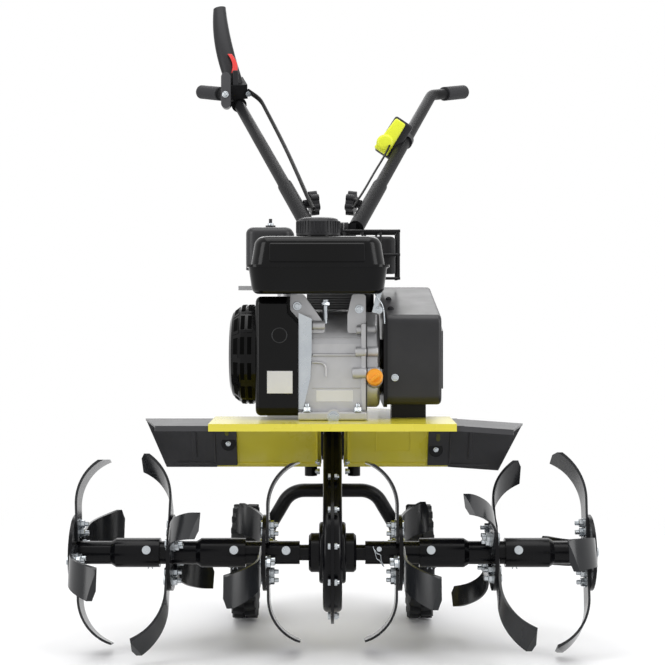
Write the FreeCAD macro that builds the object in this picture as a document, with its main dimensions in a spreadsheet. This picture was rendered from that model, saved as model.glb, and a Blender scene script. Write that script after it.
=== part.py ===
import FreeCAD, Part
import math
import os
import re
import Sketcher
from FreeCAD import Placement, Rotation, Vector

# Front-tine rotary tiller, in millimetres. +Z is up and -Y is forward. Names with "left"
# lie at -X, the left of someone who faces the machine's front, and "right" at +X. The
# origin is on the ground, under the middle of the machine. Places along Y in the table
# count from the tine axle, which is at axle_y.

SIZES = (
    ("axle_y", -481.2, "tine axle, from the middle of the machine"),
    ("axle_z", 170.5, "tine axle above the ground"),
    ("fit_gap", 0.3, "gap between pieces that seat on each other"),
    ("running_gap", 0.06, "radial clearance of a running fit"),
    # pressed steel deck and its two side extensions
    ("deck_top", 388, "top of the deck"),
    ("deck_half", 200, "half width of the deck"),
    ("deck_front", -61, "front fold"),
    ("deck_back", 85, "rear fold of the wings"),
    ("gauge", 3, "sheet steel thickness"),
    ("lip", 12, "depth of the front lip"),
    ("skirt_foot_y", 130, "lower edge of the rear skirt"),
    ("skirt_foot_z", 297, "lower edge of the rear skirt"),
    ("foot_fold", 10, "flange along the foot of the skirt"),
    ("spine_half", 112, "half width of the deck behind the wings"),
    ("spine_end", 240, "where the deck narrows to its tail"),
    ("tail_half", 45, "half width of the tail"),
    ("tail_end", 372, "rear end of the deck"),
    ("slot_half", 20, "half width of the opening for the chain case"),
    ("fender_end", 320, "outer end of a fender at its rear"),
    ("fender_front_end", 284, "outer end of a fender at its front"),
    ("fender_foot_end", 286, "outer end of a fender at the foot of the skirt"),
    ("fender_overlap", 35, "length of fender that sits inside the deck"),
    ("left_droop", 0, "angle by which the extension at -X hangs"),
    ("right_droop", 4, "angle by which the extension at +X hangs"),
    # chain case, bearing hubs
    ("case_low_radius", 96, "chain case about the tine axle"),
    ("case_high_y", 250, "input shaft"),
    ("case_high_z", 430, "input shaft"),
    ("case_high_radius", 45, "chain case about the input shaft"),
    ("case_half", 15.6, "half thickness of the chain case"),
    ("case_flange", 2.5, "thickness of one half's flange"),
    ("case_low_brim", 19, "width of the flange round the lower lobe"),
    ("case_high_brim", 9, "width of the flange round the upper lobe"),
    ("dome_radius", 50, "raised dome round the tine axle"),
    ("dome_height", 6.4, "raised dome round the tine axle"),
    ("hub_radius", 32, "bearing housing"),
    ("hub_length", 17, "bearing housing"),
    ("strap_width", 30, "strap between deck and chain case"),
    ("strap_drop", 70, "strap between deck and chain case"),
    ("stub_radius", 11, "buffer tube under the deck"),
    ("stub_y", 165, "buffer tube under the deck"),
    ("stub_x", 38, "buffer tube under the deck"),
    ("stub_drop", 108, "buffer tube under the deck"),
    # tine rotor
    ("shaft_radius", 13, "tine shaft"),
    ("shaft_half", 150, "half length of the tine shaft"),
    ("tube_radius", 19, "tine tube"),
    ("sleeve_radius", 24, "sleeve of a tine tube"),
    ("tube_bore_gap", 0.1, "radial clearance of a tube on the shaft"),
    ("inner_start", 54, "inner end of the inner tube"),
    ("inner_end", 200, "outer end of the inner tube"),
    ("inner_plate", 111, "tine plate of the inner set"),
    ("middle_start", 143, "inner end of the middle sleeve"),
    ("middle_neck", 216, "where the middle sleeve necks down"),
    ("middle_end", 340, "outer end of the middle tube"),
    ("middle_plate", 265, "tine plate of the middle set"),
    ("outer_start", 284, "inner end of the outer sleeve"),
    ("outer_neck", 356, "where the outer sleeve necks down"),
    ("outer_end", 430, "outer end of the outer tube"),
    ("outer_plate", 423, "tine plate of the outer set"),
    ("neck_length", 8, "cone between sleeve and tube"),
    ("plate_radius", 62, "tine plate"),
    ("plate_gauge", 6, "tine plate"),
    ("pin_radius", 4, "clevis pin"),
    ("pin_head", 7, "radius of a clevis pin's head"),
    ("pin_length", 58, "clevis pin"),
    ("pin_tilt", 18, "angle of the clevis pins above the level"),
    ("inner_pin", 76, "clevis pin of the inner tube"),
    ("middle_pin", 161, "clevis pin of the middle sleeve"),
    ("outer_pin", 304, "clevis pin of the outer sleeve"),
    ("blade_gauge", 4, "tine blade"),
    ("blade_root", 24, "inner end of a blade, from the axle"),
    ("blade_bend", 79, "where the blade starts to curve, from the axle"),
    ("blade_curl", 78, "radius of the curve"),
    ("blade_arc", 72, "angle of the curve"),
    ("blade_root_width", 40, "width at the plate"),
    ("blade_tip_width", 50, "width at the tip"),
    ("blade_skew", 20, "angle of the bend line"),
    ("blade_tip_slant", 15, "angle of the blade's end"),
    ("outer_left_turn", 6, "rest angle of the outer set at -X"),
    ("middle_left_turn", -27.5, "rest angle of the middle set at -X"),
    ("inner_left_turn", 10.5, "rest angle of the inner set at -X"),
    ("inner_right_turn", 11.5, "rest angle of the inner set at +X"),
    ("middle_right_turn", -41, "rest angle of the middle set at +X"),
    ("outer_right_turn", -10.5, "rest angle of the outer set at +X"),
    # transport wheels and their carrier
    ("carrier_y", 322, "fold pin of the wheel carrier"),
    ("carrier_z", 300, "fold pin of the wheel carrier"),
    ("fold_pin_radius", 6, "fold pin of the wheel carrier"),
    ("drag_pin_y", 353, "hole for a drag bar's pin"),
    ("drag_pin_radius", 6.1, "hole for a drag bar's pin"),
    ("carrier_sleeve", 13, "sleeve on the fold pin"),
    ("carrier_sleeve_half", 20, "half length of the sleeve"),
    ("carrier_tube", 12.5, "radius of the bent tube"),
    ("carrier_wall", 2, "wall of the bent tube"),
    ("carrier_bar_y", 260, "cross bar of the bent tube"),
    ("carrier_bar_z", 238, "cross bar of the bent tube"),
    ("carrier_bar_half", 76, "half length of the cross bar"),
    ("carrier_leg_x", 118, "leg of the bent tube"),
    ("carrier_knee_z", 165, "where the leg turns straight down"),
    ("carrier_bend", 42, "bend radius of the tube"),
    ("arm_gauge", 10, "arm between sleeve and cross bar"),
    ("wheel_y", 288, "wheel axle"),
    ("wheel_x", 160, "middle of a wheel"),
    ("wheel_radius", 104, "wheel over its tread"),
    ("wheel_width", 47, "tyre"),
    ("rim_radius", 62, "rim"),
    ("rim_width", 34, "rim"),
    ("axle_radius", 8, "wheel axle"),
    ("wheel_hub_radius", 17, "hub of a wheel"),
    ("wheel_hub_half", 27, "half length of a hub"),
    # engine
    ("crank_y", 95, "crankshaft"),
    ("crank_z", 494, "crankshaft"),
    ("block_left", -56.5, "crankcase"),
    ("block_right", 55.5, "crankcase"),
    ("block_radius", 76, "crankcase about the crankshaft"),
    ("base_front", 14, "crankcase foot"),
    ("base_back", 101, "crankcase foot"),
    ("base_height", 44, "crankcase foot"),
    ("foot_flange", 14, "thickness of the foot flange"),
    ("foot_left", -50, "foot flange"),
    ("foot_right", 58, "foot flange"),
    ("cover_depth", 24, "side cover"),
    ("cover_radius", 72, "side cover"),
    ("oil_plug_y", 19, "oil filler"),
    ("oil_plug_z", 456, "oil filler"),
    ("barrel_radius", 36, "cylinder barrel under the fins"),
    ("fin_half", 46, "half width of a fin"),
    ("fin_gauge", 2.4, "thickness of a fin"),
    ("fin_pitch", 7, "spacing of the fins"),
    ("fin_count", 10, "number of fins"),
    ("cylinder_x", 0, "middle of the cylinder"),
    ("barrel_start", 80, "where the fins start, from the crankshaft"),
    ("cylinder_tilt", 25, "cylinder above the level"),
    ("head_length", 34, "cylinder head"),
    ("shroud_left", -127.5, "fan shroud"),
    ("shroud_front", 0, "fan shroud"),
    ("shroud_back", 190, "fan shroud"),
    ("shroud_low", 395, "fan shroud"),
    ("shroud_high", 593, "fan shroud"),
    ("shroud_round", 16, "fan shroud's corners"),
    ("recoil_radius", 84, "recoil starter"),
    ("recoil_depth", 46, "recoil starter"),
    ("tank_x", -24, "middle of the tank"),
    ("tank_front", -45, "tank"),
    ("tank_back", 150, "tank"),
    ("tank_low", 597, "tank"),
    ("tank_seam", 643, "tank's seam"),
    ("tank_high", 692, "tank"),
    ("tank_half", 114, "half width of the tank at its seam"),
    ("tank_seam_brim", 3.5, "seam flange"),
    ("tank_corner", 30, "tank's upright corners"),
    ("cap_radius", 37, "fuel cap"),
    ("cap_height", 30, "fuel cap"),
    ("cap_y", 40, "fuel cap"),
    ("cleaner_left", -154, "air cleaner"),
    ("cleaner_right", -70, "air cleaner"),
    ("cleaner_front", 172, "air cleaner"),
    ("cleaner_back", 280, "air cleaner"),
    ("cleaner_low", 640, "air cleaner"),
    ("cleaner_high", 716, "air cleaner"),
    ("muffler_left", 30, "muffler"),
    ("muffler_right", 112, "muffler"),
    ("muffler_front", 182, "muffler"),
    ("muffler_back", 292, "muffler"),
    ("muffler_low", 634, "muffler"),
    ("muffler_high", 700, "muffler"),
    ("guard_gap", 9, "space between muffler and wire guard"),
    ("guard_wire", 2.5, "radius of the guard's wire"),
    ("guard_wires", 4, "number of upright wires in the guard's front"),
    ("belt_left", 91.5, "belt cover"),
    ("belt_right", 182, "belt cover"),
    ("belt_front", 20, "belt cover"),
    ("belt_back", 318, "belt cover"),
    ("belt_low", 412, "belt cover"),
    ("belt_front_high", 561, "belt cover"),
    ("belt_back_high", 613, "belt cover"),
    ("belt_round", 16, "belt cover's corners"),
    ("backplate_gauge", 6, "steel plate behind the belt cover"),
    ("belt_pad", 4, "raised panel on the belt cover"),
    ("tower_left", 27, "right tank stay"),
    ("stay_front", 26, "tank stays"),
    ("stay_depth", 30, "tank stays"),
    ("bracket_gauge", 2.5, "galvanised bracket beside the shroud"),
    ("post_left", 100, "post under the belt cover"),
    ("post_right", 158, "post under the belt cover"),
    ("carb_y", 245, "carburettor"),
    ("carb_z", 566, "carburettor"),
    ("choke_z", 608, "choke lever"),
    ("choke_reach", -171, "choke lever"),
    # handlebar and its column
    ("column_front", 312, "handle column"),
    ("column_depth", 34, "handle column"),
    ("column_half", 21, "half width of the column"),
    ("column_wall", 3, "wall of the column"),
    ("pivot_z", 712, "handlebar pivot"),
    ("pivot_radius", 6, "handlebar pivot bolt"),
    ("pivot_boss", 20, "boss round the pivot bolt"),
    ("lug_gauge", 8, "handlebar lug"),
    ("low_tube", 15, "radius of the lower handle tube"),
    ("high_tube", 12.5, "radius of the upper handle tube"),
    ("handle_wall", 1.8, "wall of the handle tubes"),
    ("handle_foot_x", 44, "lower end of a handle tube"),
    ("handle_rise", 10, "lower end of a handle tube above the pivot"),
    ("handle_reach", 16, "lower end of a handle tube behind the pivot"),
    ("low_tube_length", 207, "lower handle tube"),
    ("telescope", 110, "length of upper tube inside the lower"),
    ("bend_x", 232, "bend of the handle"),
    ("bend_y", 1000, "bend of the handle"),
    ("bend_z", 1064, "bend of the handle"),
    ("end_x", 315, "end of the handle"),
    ("end_y", 1120, "end of the handle"),
    ("end_z", 1088, "end of the handle"),
    ("handle_bend", 60, "bend radius of the handle"),
    ("grip_radius", 16.5, "rubber grip"),
    ("grip_length", 92, "rubber grip"),
    ("knob_radius", 24, "star knob"),
    ("knob_along", 110, "star knob along the tube"),
    ("lever_length", 210, "clutch lever"),
    ("lever_width", 38, "clutch lever"),
    ("lever_clamp_half", 26, "half length of the clamp round the handle tube"),
    ("lever_clamp_wall", 5, "wall of that clamp"),
    ("lever_housing_length", 56, "clutch lever's housing, along the tube"),
    ("lever_housing_depth", 40, "clutch lever's housing, across the tube"),
    ("lever_housing_height", 34, "clutch lever's housing, off the tube"),
    ("lever_housing_gap", 2, "housing above the tube's surface"),
    ("lever_lean_x", 38, "clutch lever's top, outward from its foot"),
    ("lever_lean_y", 66, "clutch lever's top, rearward from its foot"),
    ("lock_width", 9, "lever's catch"),
    ("lock_depth", 12, "lever's catch"),
    ("lock_length", 48, "lever's catch"),
    ("throttle_along", 462, "throttle along the handle"),
    ("throttle_length", 74, "throttle housing"),
    ("throttle_depth", 26, "throttle housing, off the tube"),
    ("throttle_width", 30, "throttle housing, across the tube"),
    ("throttle_clamp_half", 9, "half length of the throttle's clamp"),
    ("throttle_clamp_wall", 4, "wall of the throttle's clamp"),
    ("thumb_depth", 14, "throttle's thumb lever, off its housing"),
    ("thumb_width", 22, "throttle's thumb lever, across the tube"),
    ("cable_radius", 2.8, "cable"),
)

doc = FreeCAD.newDocument("rotary_tiller")
sheet = doc.addObject("Spreadsheet::Sheet", "dims")
for row, (alias, number, note) in enumerate(SIZES, start=1):
    sheet.set(f"A{row}", note)
    sheet.set(f"B{row}", str(number))
    sheet.setAlias(f"B{row}", alias)
doc.recompute()

ALIASES = {alias for alias, number, note in SIZES}
SIDES = (("left", -1), ("right", 1))
TO_Y = Rotation(Vector(0, 0, 1), 90)
TO_Z = Rotation(Vector(0, 1, 0), -90)
nodes = {}


# ---------------------------------------------------------------- helpers

def bound(expression):
    """The expression with each size's alias pointed at the sheet."""
    return re.sub(r"[a-z_]+", lambda m: "dims." + m[0] if m[0] in ALIASES else m[0], str(expression))


def mm(expression):
    """The expression's value now."""
    return float(sheet.evalExpression(bound(expression)))


def point(x, y, z):
    """A point given by expressions, y counting from the tine axle."""
    return Vector(mm(x), mm(f"axle_y + {y}"), mm(z))


def place(piece, at, turn=None):
    """Puts a piece at a point given by expressions, y counting from the tine axle."""
    if turn:
        piece.Placement.Rotation = turn
    x, y, z = at
    piece.setExpression("Placement.Base.x", bound(x))
    piece.setExpression("Placement.Base.y", bound(f"axle_y + {y}"))
    piece.setExpression("Placement.Base.z", bound(z))
    return piece


def primitive(kind, at, turn=None, **sizes):
    piece = doc.addObject("Part::" + kind, kind.lower())
    for size, expression in sizes.items():
        piece.setExpression(size, bound(expression))
    return place(piece, at, turn)


def box(x_span, y_span, z_span):
    low = [span[0] for span in (x_span, y_span, z_span)]
    length, width, height = [f"({high}) - ({start})" for start, high in (x_span, y_span, z_span)]
    return primitive("Box", low, Length=length, Width=width, Height=height)


def cylinder(at, radius, length, turn=None):
    """A cylinder that starts at a point and runs along X, or as turned from there."""
    rotation = (turn or Rotation()).multiply(Rotation(Vector(0, 1, 0), 90))
    return primitive("Cylinder", at, rotation, Radius=radius, Height=length)


def fused(*pieces):
    fusion = doc.addObject("Part::MultiFuse", "fusion")
    fusion.Shapes = list(pieces)
    return fusion


def cut(base, *tools):
    result = doc.addObject("Part::Cut", "cut")
    result.Base = base
    result.Tool = tools[0] if len(tools) == 1 else fused(*tools)
    return result


def shaped(shape):
    """A piece whose form only Part's own functions give."""
    piece = doc.addObject("Part::Feature", "shaped")
    piece.Shape = shape
    return piece


def node(label, piece):
    """Names a finished sub-part."""
    piece.Label = label
    nodes[label] = piece
    return piece


def new_body(at=("0", "0", "0"), turn=None):
    return place(doc.addObject("PartDesign::Body", "body"), at, turn)


def new_sketch(body, plane, offset):
    sketch = body.newObject("Sketcher::SketchObject", "sketch")
    datum = [item for item in body.Origin.OriginFeatures if item.Role == plane + "_Plane"][0]
    sketch.AttachmentSupport = [(datum, "")]
    sketch.MapMode = "FlatFace"
    sketch.setExpression(".AttachmentOffset.Base.z", bound(offset))
    return sketch


def draw_outline(sketch, corners):
    """A closed outline of straight lines, each corner held by its two expressions."""
    places = [Vector(mm(across), mm(up), 0) for across, up in corners]
    count = len(places)
    for index in range(count):
        sketch.addGeometry(Part.LineSegment(places[index], places[(index + 1) % count]), False)
    for index in range(count):
        sketch.addConstraint(Sketcher.Constraint("Coincident", index, 2, (index + 1) % count, 1))
    for index, (across, up) in enumerate(corners):
        for kind, expression, value in (
            ("DistanceX", across, places[index].x),
            ("DistanceY", up, places[index].y),
        ):
            number = sketch.addConstraint(Sketcher.Constraint(kind, index, 1, value))
            sketch.setExpression(f"Constraints[{number}]", bound(expression))


def draw_circle(sketch, centre, radius):
    across, up = centre
    middle = Vector(mm(across), mm(up), 0)
    circle = sketch.addGeometry(Part.Circle(middle, Vector(0, 0, 1), mm(radius)), False)
    for kind, expression, value in (("DistanceX", across, middle.x), ("DistanceY", up, middle.y)):
        number = sketch.addConstraint(Sketcher.Constraint(kind, circle, 3, value))
        sketch.setExpression(f"Constraints[{number}]", bound(expression))
    number = sketch.addConstraint(Sketcher.Constraint("Radius", circle, mm(radius)))
    sketch.setExpression(f"Constraints[{number}]", bound(radius))


def draw_egg(sketch, low, low_radius, high, high_radius):
    """Two arcs joined by the two lines that touch both."""
    centres = [Vector(mm(low[0]), mm(low[1]), 0), Vector(mm(high[0]), mm(high[1]), 0)]
    radii = [mm(low_radius), mm(high_radius)]
    along = centres[1] - centres[0]
    lean = math.acos((radii[0] - radii[1]) / along.Length)
    heading = math.atan2(along.y, along.x)
    normal = Vector(0, 0, 1)
    first = Part.Circle(centres[0], normal, radii[0])
    last = Part.Circle(centres[1], normal, radii[1])
    turns = (heading + lean, heading - lean + 2 * math.pi)
    low_arc = Part.ArcOfCircle(first, turns[0], turns[1])
    high_arc = Part.ArcOfCircle(last, heading - lean, heading + lean)
    rim = [centre + Vector(math.cos(turn), math.sin(turn), 0) * radius
           for centre, radius in zip(centres, radii) for turn in turns]
    sketch.addGeometry(low_arc, False)
    sketch.addGeometry(high_arc, False)
    sketch.addGeometry(Part.LineSegment(rim[1], rim[3]), False)
    sketch.addGeometry(Part.LineSegment(rim[2], rim[0]), False)
    for ends in ((0, 2, 2, 1), (2, 2, 1, 1), (1, 2, 3, 1), (3, 2, 0, 1)):
        sketch.addConstraint(Sketcher.Constraint("Tangent", *ends))
    for arc, centre, radius in ((0, low, low_radius), (1, high, high_radius)):
        for kind, expression in (("DistanceX", centre[0]), ("DistanceY", centre[1])):
            number = sketch.addConstraint(Sketcher.Constraint(kind, arc, 3, mm(expression)))
            sketch.setExpression(f"Constraints[{number}]", bound(expression))
        number = sketch.addConstraint(Sketcher.Constraint("Radius", arc, mm(radius)))
        sketch.setExpression(f"Constraints[{number}]", bound(radius))


def add(body, plane, span, draw, *shape, taper=0, reverse=False):
    """A pad across a span of the axis that stands on the plane."""
    low, high = span
    offset = f"-({high})" if plane == "XZ" else low
    if reverse:
        offset = f"-({low})" if plane == "XZ" else high
    sketch = new_sketch(body, plane, offset)
    draw(sketch, *shape)
    pad = body.newObject("PartDesign::Pad", "pad")
    pad.Profile = sketch
    pad.setExpression("Length", bound(f"({high}) - ({low})"))
    pad.Reversed = reverse
    pad.TaperAngle = taper
    doc.recompute()
    return pad


def take(body, plane, span, draw, *shape):
    """A pocket across a span of the axis that stands on the plane."""
    low, high = span
    sketch = new_sketch(body, plane, f"-({low})" if plane == "XZ" else high)
    draw(sketch, *shape)
    pocket = body.newObject("PartDesign::Pocket", "pocket")
    pocket.Profile = sketch
    pocket.setExpression("Length", bound(f"({high}) - ({low})"))
    doc.recompute()
    return pocket


def turned(profile, at, turn=None):
    """A turned piece: (along, radius) corners, turned about X and then placed."""
    body = new_body(at, turn)
    sketch = new_sketch(body, "XY", "0")
    draw_outline(sketch, profile)
    lathe = body.newObject("PartDesign::Revolution", "revolution")
    lathe.Profile = sketch
    lathe.ReferenceAxis = (sketch, ["H_Axis"])
    doc.recompute()
    return body


def round_edges(body, radius, keep):
    """Rounds those edges of the body that keep() picks."""
    base = body.Tip
    chosen = [f"Edge{n}" for n, edge in enumerate(base.Shape.Edges, start=1) if keep(edge)]
    fillet = body.newObject("PartDesign::Fillet", "fillet")
    fillet.Base = (base, chosen)
    fillet.setExpression("Radius", bound(radius))
    doc.recompute()
    return fillet


def runs_along(axis):
    """Picks straight edges that run along an axis."""
    def keep(edge):
        ends = edge.Vertexes
        if len(ends) < 2 or edge.Curve.TypeId != "Part::GeomLine":
            return False
        return abs((ends[1].Point - ends[0].Point).normalize().dot(axis)) > 0.999
    return keep


def lies_at(axis, expression):
    """Picks edges that lie in a plane square to an axis."""
    level = mm(expression)

    def keep(edge):
        box_low = Vector(edge.BoundBox.XMin, edge.BoundBox.YMin, edge.BoundBox.ZMin).dot(axis)
        box_high = Vector(edge.BoundBox.XMax, edge.BoundBox.YMax, edge.BoundBox.ZMax).dot(axis)
        return abs(box_low - level) < 0.01 and abs(box_high - level) < 0.01
    return keep


X_AXIS, Y_AXIS, Z_AXIS = Vector(1, 0, 0), Vector(0, 1, 0), Vector(0, 0, 1)


def spine(points, bend):
    """Straight runs joined by arcs that touch them."""
    edges = []
    start = points[0]
    for before, corner, after in zip(points, points[1:], points[2:]):
        back = (before - corner).normalize()
        on = (after - corner).normalize()
        half_turn = (math.pi - back.getAngle(on)) / 2
        radius = bend or 0.45 * min((before - corner).Length, (after - corner).Length) / math.tan(half_turn)
        trim = radius * math.tan(half_turn)
        middle = corner + (back + on).normalize() * (radius / math.cos(half_turn) - radius)
        edges.append(Part.LineSegment(start, corner + back * trim).toShape())
        edges.append(Part.Arc(corner + back * trim, middle, corner + on * trim).toShape())
        start = corner + on * trim
    edges.append(Part.LineSegment(start, points[-1]).toShape())
    return Part.Wire(edges)


def rod(points, radius, bend=0):
    """A round bar along the points; with no bend radius its arcs are as large as they can be."""
    path = spine(points, bend)
    section = Part.Wire(Part.makeCircle(radius, points[0], points[1] - points[0]))
    return path.makePipeShell([section], True, False)


def tube(points, radius, wall, bend=0):
    return rod(points, radius, bend).cut(rod(points, radius - wall, bend))


# ---------------------------------------------------------------- deck and fenders

LEAN = "((skirt_foot_y - deck_back) / (deck_top - skirt_foot_z))"
SLANT = f"sqrt(1 + {LEAN} ^ 2)"


def channel(inset, fold):
    """Section of the deck, or of a fender that sits inside it by the inset."""
    top = f"(deck_top - {inset})"
    front = f"(deck_front + {inset})"
    foot = f"(skirt_foot_y - {inset} * {SLANT})"
    shoulder = f"({foot} - {LEAN} * ({top} - skirt_foot_z))"
    wall = f"gauge * {SLANT}"
    corners = [
        (front, "deck_top - lip"),
        (front, top),
        (shoulder, top),
    ]
    if fold:
        corners += [
            (f"{foot} - {LEAN} * gauge", "skirt_foot_z + gauge"),
            (f"{foot} + foot_fold", "skirt_foot_z + gauge"),
            (f"{foot} + foot_fold", "skirt_foot_z"),
            (f"{foot} - {wall}", "skirt_foot_z"),
        ]
    else:
        corners += [
            (f"{foot} - {LEAN} * gauge", "skirt_foot_z + gauge"),
            (f"{foot} - {LEAN} * gauge - {wall}", "skirt_foot_z + gauge"),
        ]
    corners += [
        (f"{shoulder} + {LEAN} * gauge - {wall}", f"{top} - gauge"),
        (f"{front} + gauge", f"{top} - gauge"),
        (f"{front} + gauge", "deck_top - lip"),
    ]
    return corners


def make_deck():
    body = new_body()
    add(body, "YZ", ("-deck_half", "deck_half"), draw_outline, channel("0", True))
    add(body, "XY", ("deck_top - gauge", "deck_top"), draw_outline, [
        ("-spine_half", "deck_back - 10"),
        ("spine_half", "deck_back - 10"),
        ("spine_half", "spine_end"),
        ("tail_half", "spine_end + 50"),
        ("tail_half", "tail_end"),
        ("-tail_half", "tail_end"),
        ("-tail_half", "spine_end + 50"),
        ("-spine_half", "spine_end"),
    ])
    for side in (-1, 1):
        edges = sorted((f"{side} * spine_half", f"{side} * (spine_half - gauge)"), key=mm)
        add(body, "XY", ("deck_top - 22", "deck_top - gauge"), draw_outline, [
            (edges[0], "skirt_foot_y + 12"),
            (edges[1], "skirt_foot_y + 12"),
            (edges[1], "spine_end"),
            (edges[0], "spine_end"),
        ])
    take(body, "XY", ("deck_top - gauge - 1", "deck_top + 1"), draw_outline, [
        ("-slot_half", "deck_back + 6"),
        ("slot_half", "deck_back + 6"),
        ("slot_half", "case_high_y + case_high_radius + 11"),
        ("-slot_half", "case_high_y + case_high_radius + 11"),
    ])
    take(body, "XZ", ("deck_back - 20", "skirt_foot_y + foot_fold + 5"), draw_outline, [
        ("-slot_half", "skirt_foot_z - 5"),
        ("slot_half", "skirt_foot_z - 5"),
        ("slot_half", "deck_top + 2"),
        ("-slot_half", "deck_top + 2"),
    ])
    node("base_frame", body)


def make_fender(name, side):
    def across(expression):
        return f"{side} * ({expression})"

    def span(start, end):
        return tuple(sorted((across(start), across(end)), key=mm))

    nest = "(gauge + fit_gap)"
    seam = "deck_half + fit_gap"
    inner = new_body()
    add(inner, "YZ", span("deck_half - fender_overlap", f"{seam} + 12"), draw_outline, channel(nest, False))
    outer = new_body()
    add(outer, "YZ", span(seam, "fender_end"), draw_outline, channel(nest, True))
    take(outer, "XY", ("skirt_foot_z - 5", "deck_top + 5"), draw_outline, [
        (across("fender_front_end"), "deck_front - 5"),
        (across("fender_end + 20"), "deck_front - 5"),
        (across("fender_end + 20"), "deck_back"),
        (across("fender_end"), "deck_back"),
    ])
    take(outer, "XZ", ("deck_front - 5", "skirt_foot_y + foot_fold + 5"), draw_outline, [
        (across("fender_foot_end"), "skirt_foot_z - 5"),
        (across("fender_end + 20"), "skirt_foot_z - 5"),
        (across("fender_end + 20"), "deck_top"),
        (across("fender_end"), "deck_top"),
    ])
    hinge = Vector(mm(across(seam)), 0, mm("skirt_foot_z"))
    droop = Rotation(Y_AXIS, side * mm(f"{name}_droop"))
    outer.Placement.Rotation = droop
    shift = hinge - droop.multVec(hinge)
    place(outer, (str(shift.x), "0", str(shift.z)), droop)
    node(f"fender_{name}", fused(inner, outer))


# ---------------------------------------------------------------- chain case

CASE_LOW = ("0", "axle_z")
CASE_HIGH = ("case_high_y", "case_high_z")


def make_chain_case(name, side):
    def span(start, end):
        return tuple(sorted((f"{side} * ({start})", f"{side} * ({end})"), key=mm))

    body = new_body()
    add(body, "YZ", span("0", "case_flange"), draw_egg,
        CASE_LOW, "case_low_radius + case_low_brim", CASE_HIGH, "case_high_radius + case_high_brim")
    add(body, "YZ", span("case_flange", "case_half"), draw_egg,
        CASE_LOW, "case_low_radius", CASE_HIGH, "case_high_radius")
    round_edges(body, "case_half * 0.5", lies_at(X_AXIS, f"{side} * case_half"))
    add(body, "YZ", span("case_half - 0.5", "case_half + dome_height"), draw_circle, CASE_LOW, "dome_radius")
    round_edges(body, "dome_height * 0.7", lies_at(X_AXIS, f"{side} * (case_half + dome_height)"))
    take(body, "YZ", span("-1", "case_half + dome_height + 1"), draw_circle, CASE_LOW, "shaft_radius + 1")
    node(f"chain_case_{name}", body)


def make_hubs():
    face = "(case_half + dome_height)"
    hubs = []
    for name, side in SIDES:
        hubs.append(turned([
            (f"{side} * {face}", "shaft_radius + running_gap"),
            (f"{side} * {face}", "hub_radius"),
            (f"{side} * ({face} + hub_length - 4)", "hub_radius"),
            (f"{side} * ({face} + hub_length)", "hub_radius - 4"),
            (f"{side} * ({face} + hub_length)", "shaft_radius + running_gap"),
        ], ("0", "0", "axle_z")))
    node("bearing_hubs", fused(*hubs))


def make_straps():
    """Two straps that hang the chain case from the deck, and the buffer tubes."""
    straps = []
    for name, side in SIDES:
        low, high = sorted((f"{side} * (case_half + fit_gap)", f"{side} * (case_half + fit_gap + 4)"), key=mm)
        straps.append(box((low, high), ("deck_back + 22", "deck_back + 22 + strap_width"),
                          ("deck_top - strap_drop", "deck_top - gauge")))
    node("case_straps", fused(*straps))
    stubs = []
    for name, side in SIDES:
        foot = (f"{side} * stub_x", "stub_y", "deck_top - gauge - stub_drop")
        pipe = cylinder(foot, "stub_radius", "stub_drop", TO_Z)
        stubs.append(pipe)
    node("buffer_tubes", fused(*stubs))


# ---------------------------------------------------------------- tine rotor

def make_shaft():
    bar = turned([
        ("-shaft_half", "0"),
        ("-shaft_half", "shaft_radius - 1"),
        ("1 - shaft_half", "shaft_radius"),
        ("shaft_half - 1", "shaft_radius"),
        ("shaft_half", "shaft_radius - 1"),
        ("shaft_half", "0"),
    ], ("0", "0", "axle_z"))
    holes = [pin_hole(side + pin) for side in ("", "-") for pin in ("inner_pin", "middle_pin")]
    node("tine_shaft", cut(bar, *holes))


def pin_hole(x):
    """A drilled hole across the tube, along the clevis pin."""
    direction = Rotation(X_AXIS, -mm("pin_tilt")).multiply(TO_Y)
    return cylinder((x, "-40 * cos(pin_tilt)", "axle_z + 40 * sin(pin_tilt)"),
                    "pin_radius + 0.2", "80", direction)


def make_tine_hub(name, side, tier):
    """A tube with its plate; the middle and outer tubes slip over the next one in."""
    def along(expression):
        return f"{side} * ({expression})"

    plate = f"{tier}_plate"
    bore = "shaft_radius + tube_bore_gap"
    slip = "tube_radius + tube_bore_gap"
    end = f"{tier}_end"
    rim = [
        (along(f"{plate} - plate_gauge / 2"), "tube_radius"),
        (along(f"{plate} - plate_gauge / 2"), "plate_radius"),
        (along(f"{plate} + plate_gauge / 2"), "plate_radius"),
        (along(f"{plate} + plate_gauge / 2"), "tube_radius"),
        (along(end), "tube_radius"),
    ]
    if tier == "inner":
        profile = [(along("inner_start"), bore), (along("inner_start"), "tube_radius")] + rim
        profile += [(along(end), bore)]
    else:
        start, neck = f"{tier}_start", f"{tier}_neck"
        profile = [
            (along(start), slip),
            (along(start), "sleeve_radius"),
            (along(neck), "sleeve_radius"),
            (along(f"{neck} + neck_length"), "tube_radius"),
        ] + rim
        profile += [(along(end), bore), (along(f"{neck} + neck_length"), bore), (along(f"{neck}"), slip)]
    hub = turned(profile, ("0", "0", "axle_z"))
    holes = {
        "inner": ("inner_pin", "middle_pin"),
        "middle": ("middle_pin", "outer_pin"),
        "outer": ("outer_pin",),
    }
    drilled = cut(hub, *[pin_hole(along(x)) for x in holes[tier]])
    node(f"tine_hub_{tier}_{name}", drilled)


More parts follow.
